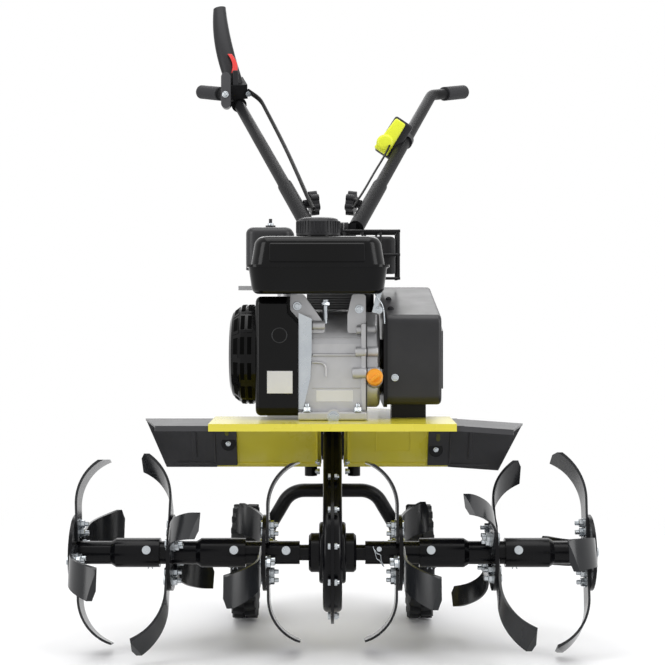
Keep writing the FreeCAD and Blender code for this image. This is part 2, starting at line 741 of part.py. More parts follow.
def blade(side, tier, number, outward):
    """One tine: a flat bar with a tapered blank, rolled about a skewed line.

    The blank is drawn flat in (n, b), n across the bend line and b along it. Past the
    bend line n wraps round the curl, so the same two formulas give the seen outline.
    """
    angle = math.radians(90 * number + mm(f"{tier}_{'left' if side < 0 else 'right'}_turn"))
    reach = Vector(0, -math.sin(angle), math.cos(angle))
    lead = X_AXIS.cross(reach)
    skew = math.radians(mm("blade_skew"))
    along = reach * math.cos(skew) - lead * math.sin(skew)
    across = lead * math.cos(skew) + reach * math.sin(skew)
    curl_side = X_AXIS * side * (1 if outward else -1)
    curl, gauge = mm("blade_curl"), mm("blade_gauge")
    arc = math.radians(mm("blade_arc"))
    seat = mm(f"{tier}_plate") + (1 if outward else -1) * mm("plate_gauge") / 2
    origin = Vector(side * seat, mm("axle_y"), mm("axle_z")) + reach * mm("blade_bend")
    margin = mm("blade_tip_width")

    # rolled strip, wider than the blank
    def strip(depth, turn):
        if turn is None:
            return origin - along * (mm("blade_bend") + 11) + curl_side * depth
        swing = curl - depth
        return origin + along * swing * math.sin(turn) + curl_side * (curl - swing * math.cos(turn))

    edges = [
        Part.LineSegment(strip(0, None), strip(0, 0)).toShape(),
        Part.Arc(strip(0, 0), strip(0, arc / 2), strip(0, arc)).toShape(),
        Part.LineSegment(strip(0, arc), strip(gauge, arc)).toShape(),
        Part.Arc(strip(gauge, arc), strip(gauge, arc / 2), strip(gauge, 0)).toShape(),
        Part.LineSegment(strip(gauge, 0), strip(gauge, None)).toShape(),
        Part.LineSegment(strip(gauge, None), strip(0, None)).toShape(),
    ]
    section = Part.Face(Part.Wire(edges))
    section.translate(across * -2 * margin)
    sheet_metal = section.extrude(across * 4 * margin)

    # outline of the blank, seen along the axle
    def seen(out, wide):
        n = out * math.cos(skew) - wide * math.sin(skew)
        b = wide * math.cos(skew) + out * math.sin(skew)
        if n > 0:
            n = curl * math.sin(min(n / curl, arc))
        return origin + along * n + across * b - curl_side * 5

    root = mm("blade_root - blade_bend")
    half_root, half_tip = mm("blade_root_width / 2"), mm("blade_tip_width / 2")
    tip = curl * arc / math.cos(skew)
    slant = half_tip * math.tan(math.radians(mm("blade_tip_slant")))
    steps = 7

    def side_curve(sign, tip_out):
        marks = [root + (tip_out - root) * step / steps for step in range(steps + 1)]
        widths = [half_root + (half_tip - half_root) * min(1, max(0, (mark - root) / (tip_out - root)))
                  for mark in marks]
        curve = Part.BSplineCurve()
        curve.interpolate([seen(mark, sign * width) for mark, width in zip(marks, widths)])
        return curve.toShape(), seen(marks[0], sign * widths[0]), seen(marks[-1], sign * widths[-1])

    lead_edge, lead_root, lead_tip = side_curve(1, tip - slant)
    trail_edge, trail_root, trail_tip = side_curve(-1, tip + slant)
    wire = Part.Wire([
        Part.LineSegment(trail_root, lead_root).toShape(),
        lead_edge,
        Part.LineSegment(lead_tip, trail_tip).toShape(),
        trail_edge,
    ])
    blank = Part.Face(wire).extrude(curl_side * mm("blade_curl + 42"))
    return sheet_metal.common(blank)


def make_tines(name, side, tier):
    """Four tines on one plate; up and down ones may curl the other way from the rest."""
    outward = {"outer": (False, False), "middle": (True, False), "inner": (False, True)}[tier]
    blades = [blade(side, tier, number, outward[number % 2]) for number in range(4)]
    node(f"tines_{tier}_{name}", shaped(Part.makeCompound([part.Solids[0] for part in blades])))


def make_tine_pins():
    pins = []
    for name, side in SIDES:
        for x in ("inner_pin", "middle_pin", "outer_pin"):
            flip = -1 if (name, x) == ("right", "inner_pin") else 1
            direction = Rotation(X_AXIS, -mm("pin_tilt")).multiply(Rotation(Vector(0, 0, 1), 90 * flip))
            head = "(sleeve_radius + fit_gap)" if x != "inner_pin" else "(tube_radius + fit_gap)"
            pins.append(turned([
                (f"-{head} - 4", "0"),
                (f"-{head} - 4", "pin_head"),
                (f"-{head}", "pin_head"),
                (f"-{head}", "pin_radius"),
                (f"pin_length - {head}", "pin_radius"),
                (f"pin_length - {head}", "0"),
            ], (f"{side} * {x}", "0", "axle_z"), direction))
    node("tine_pins", fused(*pins))


# ---------------------------------------------------------------- wheels

def make_wheel_carrier():
    sleeve = cylinder(("-carrier_sleeve_half", "carrier_y", "carrier_z"),
                      "carrier_sleeve", "2 * carrier_sleeve_half")
    bore = cylinder(("-carrier_sleeve_half - 1", "carrier_y", "carrier_z"),
                    "fold_pin_radius + running_gap", "2 * carrier_sleeve_half + 2")
    pivot = point("0", "carrier_y", "carrier_z")
    bar = point("0", "carrier_bar_y", "carrier_bar_z")
    run = bar - pivot
    square = X_AXIS.cross(run).normalize()
    width = mm("carrier_sleeve") * 0.9
    half = mm("arm_gauge") / 2
    corners = [pivot + square * width, pivot - square * width, bar - square * width, bar + square * width]
    corners = [corner - X_AXIS * half for corner in corners]
    arm = Part.Face(Part.makePolygon(corners + corners[:1])).extrude(X_AXIS * 2 * half)
    legs = []
    for side in (-1, 1):
        legs += [
            point(f"{side} * carrier_leg_x", "wheel_y", "wheel_radius"),
            point(f"{side} * carrier_leg_x", "wheel_y - 6", "carrier_knee_z"),
            point(f"{side} * carrier_bar_half", "carrier_bar_y", "carrier_bar_z"),
        ][::-side]
    hoop = rod(legs, mm("carrier_tube"), mm("carrier_bend"))
    hollow = rod(legs, mm("carrier_tube - carrier_wall"), mm("carrier_bend"))
    bent = cut(shaped(hoop.fuse(arm)), shaped(hollow))
    axles = []
    for side in (-1, 1):
        low, high = sorted((f"{side} * (carrier_leg_x - 12)",
                            f"{side} * (wheel_x + wheel_hub_half + 6)"), key=mm)
        axles.append(cylinder((low, "wheel_y", "wheel_radius"), "axle_radius", f"({high}) - ({low})"))
        low, high = sorted((f"{side} * (wheel_x + wheel_hub_half + fit_gap)",
                            f"{side} * (wheel_x + wheel_hub_half + 5)"), key=mm)
        axles.append(cylinder((low, "wheel_y", "wheel_radius"), "axle_radius + 5", f"({high}) - ({low})"))
    node("wheel_carrier", cut(fused(bent, sleeve, *axles), bore))


def make_wheel(name, side):
    at = (f"{side} * wheel_x", "wheel_y", "wheel_radius")
    node(f"wheel_tyre_{name}", turned([
        ("-rim_width / 2", "rim_radius + fit_gap"),
        ("-wheel_width / 2", "rim_radius + 9"),
        ("-wheel_width / 2", "wheel_radius - 12"),
        ("-wheel_width / 2 + 9", "wheel_radius"),
        ("wheel_width / 2 - 9", "wheel_radius"),
        ("wheel_width / 2", "wheel_radius - 12"),
        ("wheel_width / 2", "rim_radius + 9"),
        ("rim_width / 2", "rim_radius + fit_gap"),
    ], at))
    node(f"wheel_rim_{name}", turned([
        ("-rim_width / 2", "rim_radius"),
        ("-rim_width / 2", "rim_radius - 6"),
        ("-4", "rim_radius - 10"),
        ("-4", "wheel_hub_radius"),
        ("-wheel_hub_half", "wheel_hub_radius"),
        ("-wheel_hub_half", "axle_radius + running_gap"),
        ("wheel_hub_half", "axle_radius + running_gap"),
        ("wheel_hub_half", "wheel_hub_radius"),
        ("4", "wheel_hub_radius"),
        ("4", "rim_radius - 10"),
        ("rim_width / 2", "rim_radius - 6"),
        ("rim_width / 2", "rim_radius"),
    ], at))


def make_hitch():
    """Cheeks under the tail with the fold pin, and the socket for a drag bar."""
    cheeks = []
    for side in (-1, 1):
        low, high = sorted((f"{side} * (carrier_sleeve_half + 0.6)",
                            f"{side} * (carrier_sleeve_half + 5)"), key=mm)
        cheeks.append(box((low, high), ("carrier_y - 18", "tail_end - 4"),
                          ("carrier_z - 18", "deck_top - gauge")))
    bridge = box(("-carrier_sleeve_half - 2", "carrier_sleeve_half + 2"), ("carrier_y - 16", "tail_end - 6"),
                 ("deck_top - gauge - 6", "deck_top - gauge"))
    pin = cylinder(("-carrier_sleeve_half - 12", "carrier_y", "carrier_z"), "fold_pin_radius",
                   "2 * carrier_sleeve_half + 24")
    drag_hole = cylinder(("-carrier_sleeve_half - 20", "drag_pin_y", "carrier_z"), "drag_pin_radius",
                         "2 * carrier_sleeve_half + 40")
    node("rear_hitch", cut(fused(*cheeks, bridge, pin), drag_hole))


# ---------------------------------------------------------------- engine

def make_crankcase():
    body = new_body()
    crank = ("crank_y", "crank_z")
    add(body, "YZ", ("block_left", "block_right"), draw_circle, crank, "block_radius")
    add(body, "YZ", ("block_left", "block_right"), draw_outline, [
        ("base_front", "deck_top"),
        ("base_back", "deck_top"),
        ("base_back", "deck_top + base_height"),
        ("crank_y + block_radius - 12", "crank_z - 20"),
        ("crank_y", "crank_z"),
        ("crank_y - block_radius", "crank_z + 20"),
        ("base_front", "deck_top + base_height"),
    ])
    add(body, "XY", ("deck_top", "deck_top + foot_flange"), draw_outline, [
        ("foot_left", "base_front"),
        ("foot_right", "base_front"),
        ("foot_right", "base_back"),
        ("foot_left", "base_back"),
    ])
    saddle = turned([
        ("block_radius - 20", "0"),
        ("block_radius - 20", "fin_half"),
        ("barrel_start - fit_gap", "fin_half"),
        ("barrel_start - fit_gap", "0"),
    ], ("cylinder_x", "crank_y", "crank_z"), Rotation(X_AXIS, mm("cylinder_tilt")).multiply(TO_Y))
    node("crankcase", fused(body, saddle, *make_tank_stays()))


OIL_PLUG_AT = ("block_right + cover_depth * 0.6", "oil_plug_y", "oil_plug_z")
OIL_PLUG_TURN = Rotation(Vector(1, 0, 0), -20).multiply(Rotation(Vector(0, 0, 1), -90))


def make_side_cover():
    body = new_body()
    add(body, "YZ", ("block_right", "block_right + cover_depth"), draw_egg,
        ("crank_y", "crank_z"), "cover_radius", ("base_front + 46", "deck_top + foot_flange + 42"), "38")
    round_edges(body, "8", lies_at(X_AXIS, "block_right + cover_depth"))
    neck = turned([
        ("-14", "0"),
        ("-14", "14"),
        ("0", "14"),
        ("0", "0"),
    ], OIL_PLUG_AT, OIL_PLUG_TURN)
    node("crankcase_cover", fused(body, neck))


def make_oil_plug():
    node("oil_plug", turned([
        ("fit_gap", "0"),
        ("fit_gap", "10"),
        ("4", "10"),
        ("4", "13.5"),
        ("14", "13.5"),
        ("16", "11"),
        ("16", "0"),
    ], OIL_PLUG_AT, OIL_PLUG_TURN))


def make_cylinder():
    """Finned barrel and head, square fins stacked along the cylinder's own axis."""
    at = ("cylinder_x", "crank_y", "crank_z")
    turn = Rotation(X_AXIS, mm("cylinder_tilt")).multiply(TO_Y)
    core = turned([
        ("barrel_start", "0"),
        ("barrel_start", "barrel_radius"),
        ("barrel_start + fin_count * fin_pitch", "barrel_radius"),
        ("barrel_start + fin_count * fin_pitch", "0"),
    ], at, turn)
    body = new_body(at, turn)
    add(body, "YZ", ("barrel_start", "barrel_start + fin_gauge"), draw_outline, [
        ("-fin_half", "-fin_half"),
        ("fin_half", "-fin_half"),
        ("fin_half", "fin_half"),
        ("-fin_half", "fin_half"),
    ])
    round_edges(body, "10", runs_along(X_AXIS))
    fins = body.newObject("PartDesign::LinearPattern", "fins")
    fins.Originals = [item for item in body.Group if item.TypeId == "PartDesign::Pad"]
    fins.Direction = (body.Origin.OriginFeatures[0], [""])
    fins.setExpression("Length", bound("fin_pitch * (fin_count - 1)"))
    fins.setExpression("Occurrences", bound("fin_count"))
    body.Tip = fins
    doc.recompute()
    head = new_body(at, turn)
    add(head, "YZ", ("barrel_start + fin_count * fin_pitch",
                     "barrel_start + fin_count * fin_pitch + head_length"), draw_outline, [
        ("-fin_half", "-fin_half"),
        ("fin_half", "-fin_half"),
        ("fin_half", "fin_half"),
        ("-fin_half", "fin_half"),
    ])
    round_edges(head, "10", runs_along(X_AXIS))
    node("cylinder_block", fused(core, body))
    node("cylinder_head", head)


def make_tank_stays():
    """Cast arm and tower on the crankcase that carry the tank, and the bracket beside them."""
    top = "tank_low - fit_gap"
    arm = new_body()
    add(arm, "XZ", ("stay_front", "stay_front + stay_depth"), draw_outline, [
        ("block_left + 44", "crank_z + 38"),
        ("block_left + 44", "crank_z + 52"),
        ("block_left + 8", top),
        ("block_left - 14", top),
        ("block_left - 14", f"{top} - 26"),
        ("block_left + 20", "crank_z + 38"),
    ])
    round_edges(arm, "6", runs_along(Y_AXIS))
    tower = new_body()
    add(tower, "XZ", ("stay_front", "stay_front + stay_depth"), draw_outline, [
        ("tower_left - 2", "crank_z + 38"),
        ("block_right", "crank_z + 38"),
        ("block_right", top),
        ("tower_left + 6", top),
        ("tower_left - 2", f"{top} - 34"),
    ])
    round_edges(tower, "5", runs_along(Y_AXIS))
    return arm, tower


def make_bracket():
    body = new_body()
    add(body, "XZ", ("base_front - fit_gap - bracket_gauge", "base_front - fit_gap"), draw_outline, [
        ("block_left + fit_gap", "deck_top + foot_flange + 4"),
        ("block_left + 8", "deck_top + foot_flange + 4"),
        ("block_left + 20", "deck_top + 70"),
        ("block_left + 22", "crank_z + 8"),
        ("block_left + 22", "crank_z + 62"),
        ("block_left + fit_gap", "crank_z + 72"),
    ])
    node("side_bracket", body)


def make_shroud():
    body = new_body()
    add(body, "YZ", ("shroud_left", "block_left - fit_gap"), draw_outline, [
        ("shroud_front", "shroud_low"),
        ("shroud_back", "shroud_low"),
        ("shroud_back", "shroud_high"),
        ("shroud_front", "shroud_high"),
    ])
    round_edges(body, "shroud_round", runs_along(X_AXIS))
    round_edges(body, "9", lies_at(X_AXIS, "shroud_left"))
    take(body, "XZ", ("shroud_front - 1", "stay_front + stay_depth + 4"), draw_outline, [
        ("block_left - 19", "shroud_high + 1"),
        ("block_left - 19", "tank_low - 32"),
        ("block_left + 1", "crank_z + 52"),
        ("block_left + 1", "shroud_high + 1"),
    ])
    node("fan_shroud", body)


def make_recoil():
    """Starter housing: a dished disc with a ring of slots, and its pull grip."""
    body = new_body(("shroud_left - fit_gap", "crank_y", "crank_z"))
    sketch = new_sketch(body, "XY", "0")
    draw_outline(sketch, [
        ("0", "0"),
        ("0", "recoil_radius"),
        ("-recoil_depth * 0.55", "recoil_radius"),
        ("-recoil_depth + 4", "recoil_radius - 13"),
        ("-recoil_depth", "recoil_radius - 24"),
        ("-recoil_depth", "0"),
    ])
    lathe = body.newObject("PartDesign::Revolution", "revolution")
    lathe.Profile = sketch
    lathe.ReferenceAxis = (sketch, ["H_Axis"])
    doc.recompute()
    slot = take(body, "YZ", ("-recoil_depth - 1", "-recoil_depth * 0.4"), draw_outline, [
        ("recoil_radius - 44", "-3"),
        ("recoil_radius - 10", "-4.5"),
        ("recoil_radius - 10", "4.5"),
        ("recoil_radius - 44", "3"),
    ])
    slot.Reversed = True
    ring = body.newObject("PartDesign::PolarPattern", "ring")
    ring.Originals = [slot]
    ring.Axis = (body.Origin.OriginFeatures[0], [""])
    ring.Angle = 360
    ring.Occurrences = 12
    body.Tip = ring
    doc.recompute()
    node("recoil_starter", body)


def make_tank():
    """Two tapered pressings that meet in a seam flange."""
    body = new_body(("tank_x", "(tank_front + tank_back) / 2", "0"))
    depth = "(tank_back - tank_front) / 2"

    def rectangle(inset):
        return [
            (f"-tank_half + {inset}", f"-{depth} + {inset}"),
            (f"tank_half - {inset}", f"-{depth} + {inset}"),
            (f"tank_half - {inset}", f"{depth} - {inset}"),
            (f"-tank_half + {inset}", f"{depth} - {inset}"),
        ]

    add(body, "XY", ("tank_seam", "tank_high"), draw_outline, rectangle("4"), taper=-9)
    round_edges(body, "tank_corner", lambda edge: edge.BoundBox.ZLength > 10)
    round_edges(body, "17", lies_at(Z_AXIS, "tank_high"))
    lower = new_body(("tank_x", "(tank_front + tank_back) / 2", "0"))
    add(lower, "XY", ("tank_low", "tank_seam"), draw_outline, rectangle("0"), taper=-8, reverse=True)
    round_edges(lower, "tank_corner", lambda edge: edge.BoundBox.ZLength > 10)
    round_edges(lower, "12", lies_at(Z_AXIS, "tank_low"))
    seam = new_body(("tank_x", "(tank_front + tank_back) / 2", "0"))
    add(seam, "XY", ("tank_seam - 2", "tank_seam + 2"), draw_outline, rectangle("-tank_seam_brim"))
    round_edges(seam, "tank_corner", runs_along(Z_AXIS))
    neck = cylinder(("tank_x", "cap_y", "tank_high - 6"), "cap_radius - 8", "9", TO_Z)
    node("fuel_tank", fused(body, lower, seam, neck))


def make_cap():
    body = turned([
        ("0", "0"),
        ("0", "cap_radius"),
        ("cap_height - 7", "cap_radius - 1"),
        ("cap_height - 2", "cap_radius - 5"),
        ("cap_height", "cap_radius - 12"),
        ("cap_height", "0"),
    ], ("tank_x", "cap_y", "tank_high + 3"), TO_Z)
    node("fuel_cap", body)


def make_air_cleaner():
    body = new_body()
    add(body, "XY", ("cleaner_low", "cleaner_high"), draw_outline, [
        ("cleaner_left", "cleaner_front"),
        ("cleaner_right", "cleaner_front"),
        ("cleaner_right", "cleaner_back"),
        ("cleaner_left", "cleaner_back"),
    ])
    round_edges(body, "18", runs_along(Z_AXIS))
    round_edges(body, "12", lies_at(Z_AXIS, "cleaner_high"))
    middle = ("(cleaner_left + cleaner_right) / 2", "(cleaner_front + cleaner_back) / 2", "cleaner_high - 1")
    stud = cylinder(middle, "3", "18", TO_Z)
    nut = cylinder(middle, "9", "6", TO_Z)
    node("air_cleaner", fused(body, stud, nut))


def make_carburettor():
    port = "(cylinder_x - fin_half - fit_gap)"
    throat = cylinder((f"{port} - 52", "carb_y", "carb_z"), "17", "52")
    bowl = cylinder((f"{port} - 30", "carb_y", "carb_z - 34"), "20", "22", TO_Z)
    block = box((f"{port} - 46", f"{port} - 14"),
                ("carb_y - 19", "carb_y + 19"), ("carb_z - 16", "carb_z + 22"))
    elbow = cylinder((f"{port} - 36", "carb_y", "carb_z"), "18", "cleaner_low - fit_gap - carb_z", TO_Z)
    choke = box(("choke_reach", f"{port} - 36"), ("carb_y - 4", "carb_y + 4"), ("choke_z - 4", "choke_z + 4"))
    node("carburettor", fused(throat, bowl, block, elbow, choke))


def make_muffler():
    body = new_body()
    add(body, "XY", ("muffler_low", "muffler_high"), draw_outline, [
        ("muffler_left", "muffler_front"),
        ("muffler_right", "muffler_front"),
        ("muffler_right", "muffler_back"),
        ("muffler_left", "muffler_back"),
    ])
    round_edges(body, "14", runs_along(Z_AXIS))
    round_edges(body, "8", lies_at(Z_AXIS, "muffler_high"))
    port = cylinder(("cylinder_x + fin_half + fit_gap", "carb_y", "carb_z"), "15", "22")
    riser = cylinder(("cylinder_x + fin_half + fit_gap + 15", "carb_y", "carb_z - 14"), "14",
                     "muffler_low + 1 - carb_z + 14", TO_Z)
    node("muffler", fused(body, port, riser))


def make_guard():
    """Wire cage round the muffler: three hoops, uprights and cross wires."""
    left, right = "muffler_left - guard_gap", "muffler_right + guard_gap * 0.6"
    front, back = "muffler_front - guard_gap", "muffler_back + guard_gap * 0.6"
    low, high = "muffler_low - guard_gap", "muffler_high + guard_gap"
    wires = []
    levels = (low, f"(({low}) + ({high})) / 2", high)
    along_x, along_y, along_z = "guard_wire", "guard_wire * 0.92", "guard_wire * 0.84"
    across = f"({right}) - ({left}) + 2 * guard_wire"
    upright = f"({high}) - ({low}) + 2 * guard_wire"
    for level in levels:
        wires.append(cylinder((f"{left} - guard_wire", front, level), along_x, across))
        wires.append(cylinder((right, front, level), along_y, f"({back}) - ({front}) + guard_wire", TO_Y))
    for count in range(int(mm("guard_wires"))):
        x = f"({left}) + (({right}) - ({left})) * {count} / (guard_wires - 1)"
        wires.append(cylinder((x, front, f"{low} - guard_wire"), along_z, upright, TO_Z))
        wires.append(cylinder((x, front, high), along_y, f"({back}) - ({front}) + guard_wire", TO_Y))
    for share in (0.5, 1):
        y = f"({front}) + (({back}) - ({front})) * {share}"
        wires.append(cylinder((right, y, f"{low} - guard_wire"), along_z, upright, TO_Z))
        wires.append(cylinder((f"{left} - guard_wire", y, high), along_x, across))
    for x in (f"({left}) + (({right}) - ({left})) / (guard_wires - 1) + 6",
              f"({left}) + (({right}) - ({left})) * (guard_wires - 2) / (guard_wires - 1) - 6"):
        wires.append(cylinder((x, "(muffler_front + muffler_back) / 2", "muffler_high + fit_gap"),
                              along_z, f"({high}) - muffler_high - fit_gap", TO_Z))
        wires.append(cylinder((x, front, "(muffler_low + muffler_high) / 2"), along_y,
                              "guard_gap - fit_gap", TO_Y))
    node("muffler_guard", fused(*wires))


def belt_outline(inset):
    return [
        (f"belt_front + {inset}", f"belt_low + {inset}"),
        (f"belt_back - {inset}", f"belt_low + {inset}"),
        (f"belt_back - {inset}", f"belt_back_high - {inset}"),
        (f"belt_front + {inset}", f"belt_front_high - {inset}"),
    ]


def make_belt_cover():
    body = new_body()
    add(body, "YZ", ("belt_left", "belt_right"), draw_outline, belt_outline("0"))
    round_edges(body, "belt_round", runs_along(X_AXIS))
    round_edges(body, "7", lies_at(X_AXIS, "belt_right"))
    add(body, "YZ", ("belt_right - 1", "belt_right + belt_pad"), draw_outline, belt_outline("26"))
    node("belt_cover", body)
    plate = new_body()
    add(plate, "YZ", ("belt_left - fit_gap - backplate_gauge", "belt_left - fit_gap"),
        draw_outline, belt_outline("-4"))
    round_edges(plate, "belt_round", runs_along(X_AXIS))
    collar = cylinder(("block_right + cover_depth + fit_gap", "crank_y", "crank_z"), "26",
                      "belt_left - fit_gap - 1 - block_right - cover_depth - fit_gap")
    shaft = cylinder(("case_half + 5", "case_high_y", "case_high_z"), "17",
                     "belt_left - fit_gap - 1 - case_half - 5")
    bore = cylinder(("case_half + 4", "case_high_y", "case_high_z"), "8", "60")
    node("belt_backplate", fused(plate, collar, cut(shaft, bore)))
    post = box(("post_left", "post_right"), ("belt_front + 40", "belt_front + 92"),
               ("deck_top", "belt_low - fit_gap"))
    node("belt_cover_post", post)


# ---------------------------------------------------------------- handlebar

PIVOT_Y = "(column_front + column_depth / 2)"


def make_column():
    top = "pivot_z - pivot_boss - 2"
    outer = box(("-column_half", "column_half"),
                ("column_front", "column_front + column_depth"), ("deck_top", "pivot_z"))
    inner = box(("-column_half + column_wall", "column_half - column_wall"),
                ("column_front + column_wall", "column_front + column_depth - column_wall"),
                ("deck_top + 4", top))
    foot = box(("-tail_half + 2", "tail_half - 2"),
               ("column_front - 2", "tail_end - 2"), ("deck_top", "deck_top + 6"))
    boss = cylinder(("-column_half", PIVOT_Y, "pivot_z"), "pivot_boss", "2 * column_half")
    bore = cylinder(("-column_half - 1", PIVOT_Y, "pivot_z"),
                    "pivot_radius + running_gap", "2 * column_half + 2")
    node("handle_column", cut(fused(outer, foot, boss), inner, bore))


def handle_line(side):
    """Foot, bend and end of one side's handle."""
    foot = point(f"{side} * handle_foot_x", f"{PIVOT_Y} + handle_reach", "pivot_z + handle_rise")
    bend = point(f"{side} * bend_x", "bend_y", "bend_z")
    end = point(f"{side} * end_x", "end_y", "end_z")
    return foot, bend, end


def handle_frame(side, along):
    """A point on the straight run of a handle, with the run, inward and upper directions."""
    foot, bend, end = handle_line(side)
    run = (bend - foot).normalize()
    inward = (X_AXIS * -side - run * (X_AXIS * -side).dot(run)).normalize()
    upper = run.cross(inward) * -side
    if upper.z < 0:
        upper = upper * -1
    return foot + run * along, run, inward, upper


def oriented(centre, run, inward):
    """Placement whose X runs along the tube and whose Y points inward."""
    return Placement(centre, Rotation(run, inward, run.cross(inward), "XYZ"))


def make_lower_handle():
    gap = mm("fit_gap") * 2
    lugs, tubes = [], []
    for name, side in SIDES:
        foot, run, inward, upper = handle_frame(side, 0)
        top = foot + run * mm("low_tube_length")
        tubes.append(rod([foot, top], mm("low_tube")))
        low, high = sorted((f"{side} * (column_half + {gap})",
                            f"{side} * (column_half + {gap} + lug_gauge)"), key=mm)
        lugs.append(cylinder((low, PIVOT_Y, "pivot_z"), "pivot_boss", f"({high}) - ({low})"))
        low, high = sorted((f"{side} * (column_half + {gap})", f"{side} * handle_foot_x"), key=mm)
        lugs.append(box((low, high), (f"{PIVOT_Y} - 4", f"{PIVOT_Y} + handle_reach + 10"),
                        ("pivot_z - 6", "pivot_z + handle_rise + 8")))
    pivot = cylinder((f"-column_half - lug_gauge - {gap} - 6", PIVOT_Y, "pivot_z"), "pivot_radius",
                     f"2 * (column_half + lug_gauge + {gap} + 6)")
    bores = []
    for name, side in SIDES:
        foot, run, inward, upper = handle_frame(side, 0)
        start = foot + run * 40
        bores.append(rod([start, foot + run * (mm("low_tube_length") + 5)], mm("low_tube - handle_wall")))
    solid = fused(*[shaped(tube_shape) for tube_shape in tubes], *lugs, pivot)
    node("lower_handle", cut(solid, *[shaped(bore) for bore in bores]))


def make_upper_handle(name, side):
    foot, bend, end = handle_line(side)
    start, run, inward, upper = handle_frame(side, mm("low_tube_length - telescope"))
    pipe = tube([start, bend, end], mm("high_tube"), mm("handle_wall"), mm("handle_bend"))
    node(f"upper_handle_{name}", shaped(pipe))
    tail = (end - bend).normalize()
    grip_start = end - tail * mm("grip_length - 4")
    outer = rod([grip_start, end + tail * 4], mm("grip_radius"))
    inner = rod([grip_start - tail, end + tail * mm("fit_gap")], mm("high_tube") + 0.1)
    grip = outer.cut(inner)
    node(f"grip_{name}", shaped(grip))


def make_knobs():
    knobs = []
    for name, side in SIDES:
        centre, run, inward, upper = handle_frame(side, mm("knob_along"))
        face = centre + inward * mm("low_tube + fit_gap")
        neck = rod([face, face + inward * 14], mm("knob_radius") * 0.35)
        disc = rod([face + inward * 12, face + inward * 28], mm("knob_radius") * 0.8)
        lobes = [neck, disc]
        for lobe in range(6):
            turn = Rotation(inward, 60 * lobe)
            offset = turn.multVec(run * mm("knob_radius") * 0.72)
            lobe = rod([face + inward * 12 + offset, face + inward * 28 + offset], mm("knob_radius") * 0.28)
            lobes.append(lobe)
        knob = lobes[0].multiFuse(lobes[1:])
        knobs.append(knob.removeSplitter())
    node("clamp_knobs", shaped(Part.makeCompound([knob.Solids[0] for knob in knobs])))


def make_clutch():
    """Bracket on the left tube, with its U-section lever standing up and the red lock."""
    foot, bend, end = handle_line(-1)
    base, run, inward, upper = handle_frame(-1, (bend - foot).Length - 44)
    width = mm("lever_width")
    half = mm("lever_clamp_half")
    ring = rod([base - run * half, base + run * half], mm("high_tube + lever_clamp_wall"))
    bore = rod([base - run * (half + 4), base + run * (half + 4)], mm("high_tube") + 0.1)
    length, depth = mm("lever_housing_length"), mm("lever_housing_depth")
    height = mm("lever_housing_height")
    housing = Part.makeBox(length, depth, height, Vector(-length / 2, -depth / 2, -height))
    housing.Placement = oriented(base + upper * mm("high_tube + lever_housing_gap"), run, inward)
    node("lever_bracket", shaped(ring.fuse(housing).cut(bore)))
    housing_top = base + upper * mm("high_tube + lever_housing_gap + lever_housing_height + fit_gap")
    seat = housing_top - inward * 6
    tip = seat + Vector(-mm("lever_lean_x"), mm("lever_lean_y"), mm("lever_length") * 0.86)
    middle = (seat + tip) * 0.5 + Vector(-7, -10, 0)
    sections = []
    for centre, share in ((seat, 1.1), (middle, 1.05), (tip, 0.78)):
        ellipse = Part.Ellipse(Vector(), width / 2 * share, width * 0.34 * share)
        wire = Part.Wire(ellipse.toShape())
        aim = (tip - seat).normalize()
        if centre is seat:
            aim = upper
        flat = (X_AXIS - aim * X_AXIS.dot(aim)).normalize()
        wire.Placement = Placement(centre, Rotation(flat, aim.cross(flat), aim, "XYZ"))
        sections.append(wire)
    lever = Part.makeLoft(sections, True)
    node("clutch_lever", shaped(lever))
    lock_width, lock_depth, lock_length = mm("lock_width"), mm("lock_depth"), mm("lock_length")
    front = Vector(1 - length / 2, -lock_depth / 2, -lock_length)
    lock = Part.makeBox(lock_width, lock_depth, lock_length, front)
    lock.Placement = oriented(housing_top, run, inward)
    node("lever_lock", shaped(lock))


def make_throttle():
    centre, run, inward, upper = handle_frame(1, mm("throttle_along"))
    length = mm("throttle_length")
    depth, width = mm("throttle_depth"), mm("throttle_width")
    housing = Part.makeBox(length, depth, width, Vector(-length / 2, 0, -width / 2))
    housing = housing.makeFillet(6, [edge for edge in housing.Edges if edge.BoundBox.YLength > 20])
    housing.Placement = oriented(centre + inward * (mm("high_tube") + mm("fit_gap")), run, inward)
    half = mm("throttle_clamp_half")
    clamp = rod([centre - run * half, centre + run * half], mm("high_tube + throttle_clamp_wall"))
    bore = rod([centre - run * 60, centre + run * 60], mm("high_tube") + 0.1)
    node("throttle_body", shaped(housing.fuse(clamp).cut(bore)))
    thumb_depth, thumb_width = mm("thumb_depth"), mm("thumb_width")
    lever = Part.makeBox(length * 0.85, thumb_depth, thumb_width, Vector(-length * 0.42, 0, -thumb_width / 2))
    lever = lever.makeFillet(5, [edge for edge in lever.Edges if edge.BoundBox.YLength > 10])
    lever.Placement = oriented(centre + inward * mm("high_tube + throttle_depth + 2 * fit_gap"), run, inward)
    node("throttle_lever", shaped(lever))


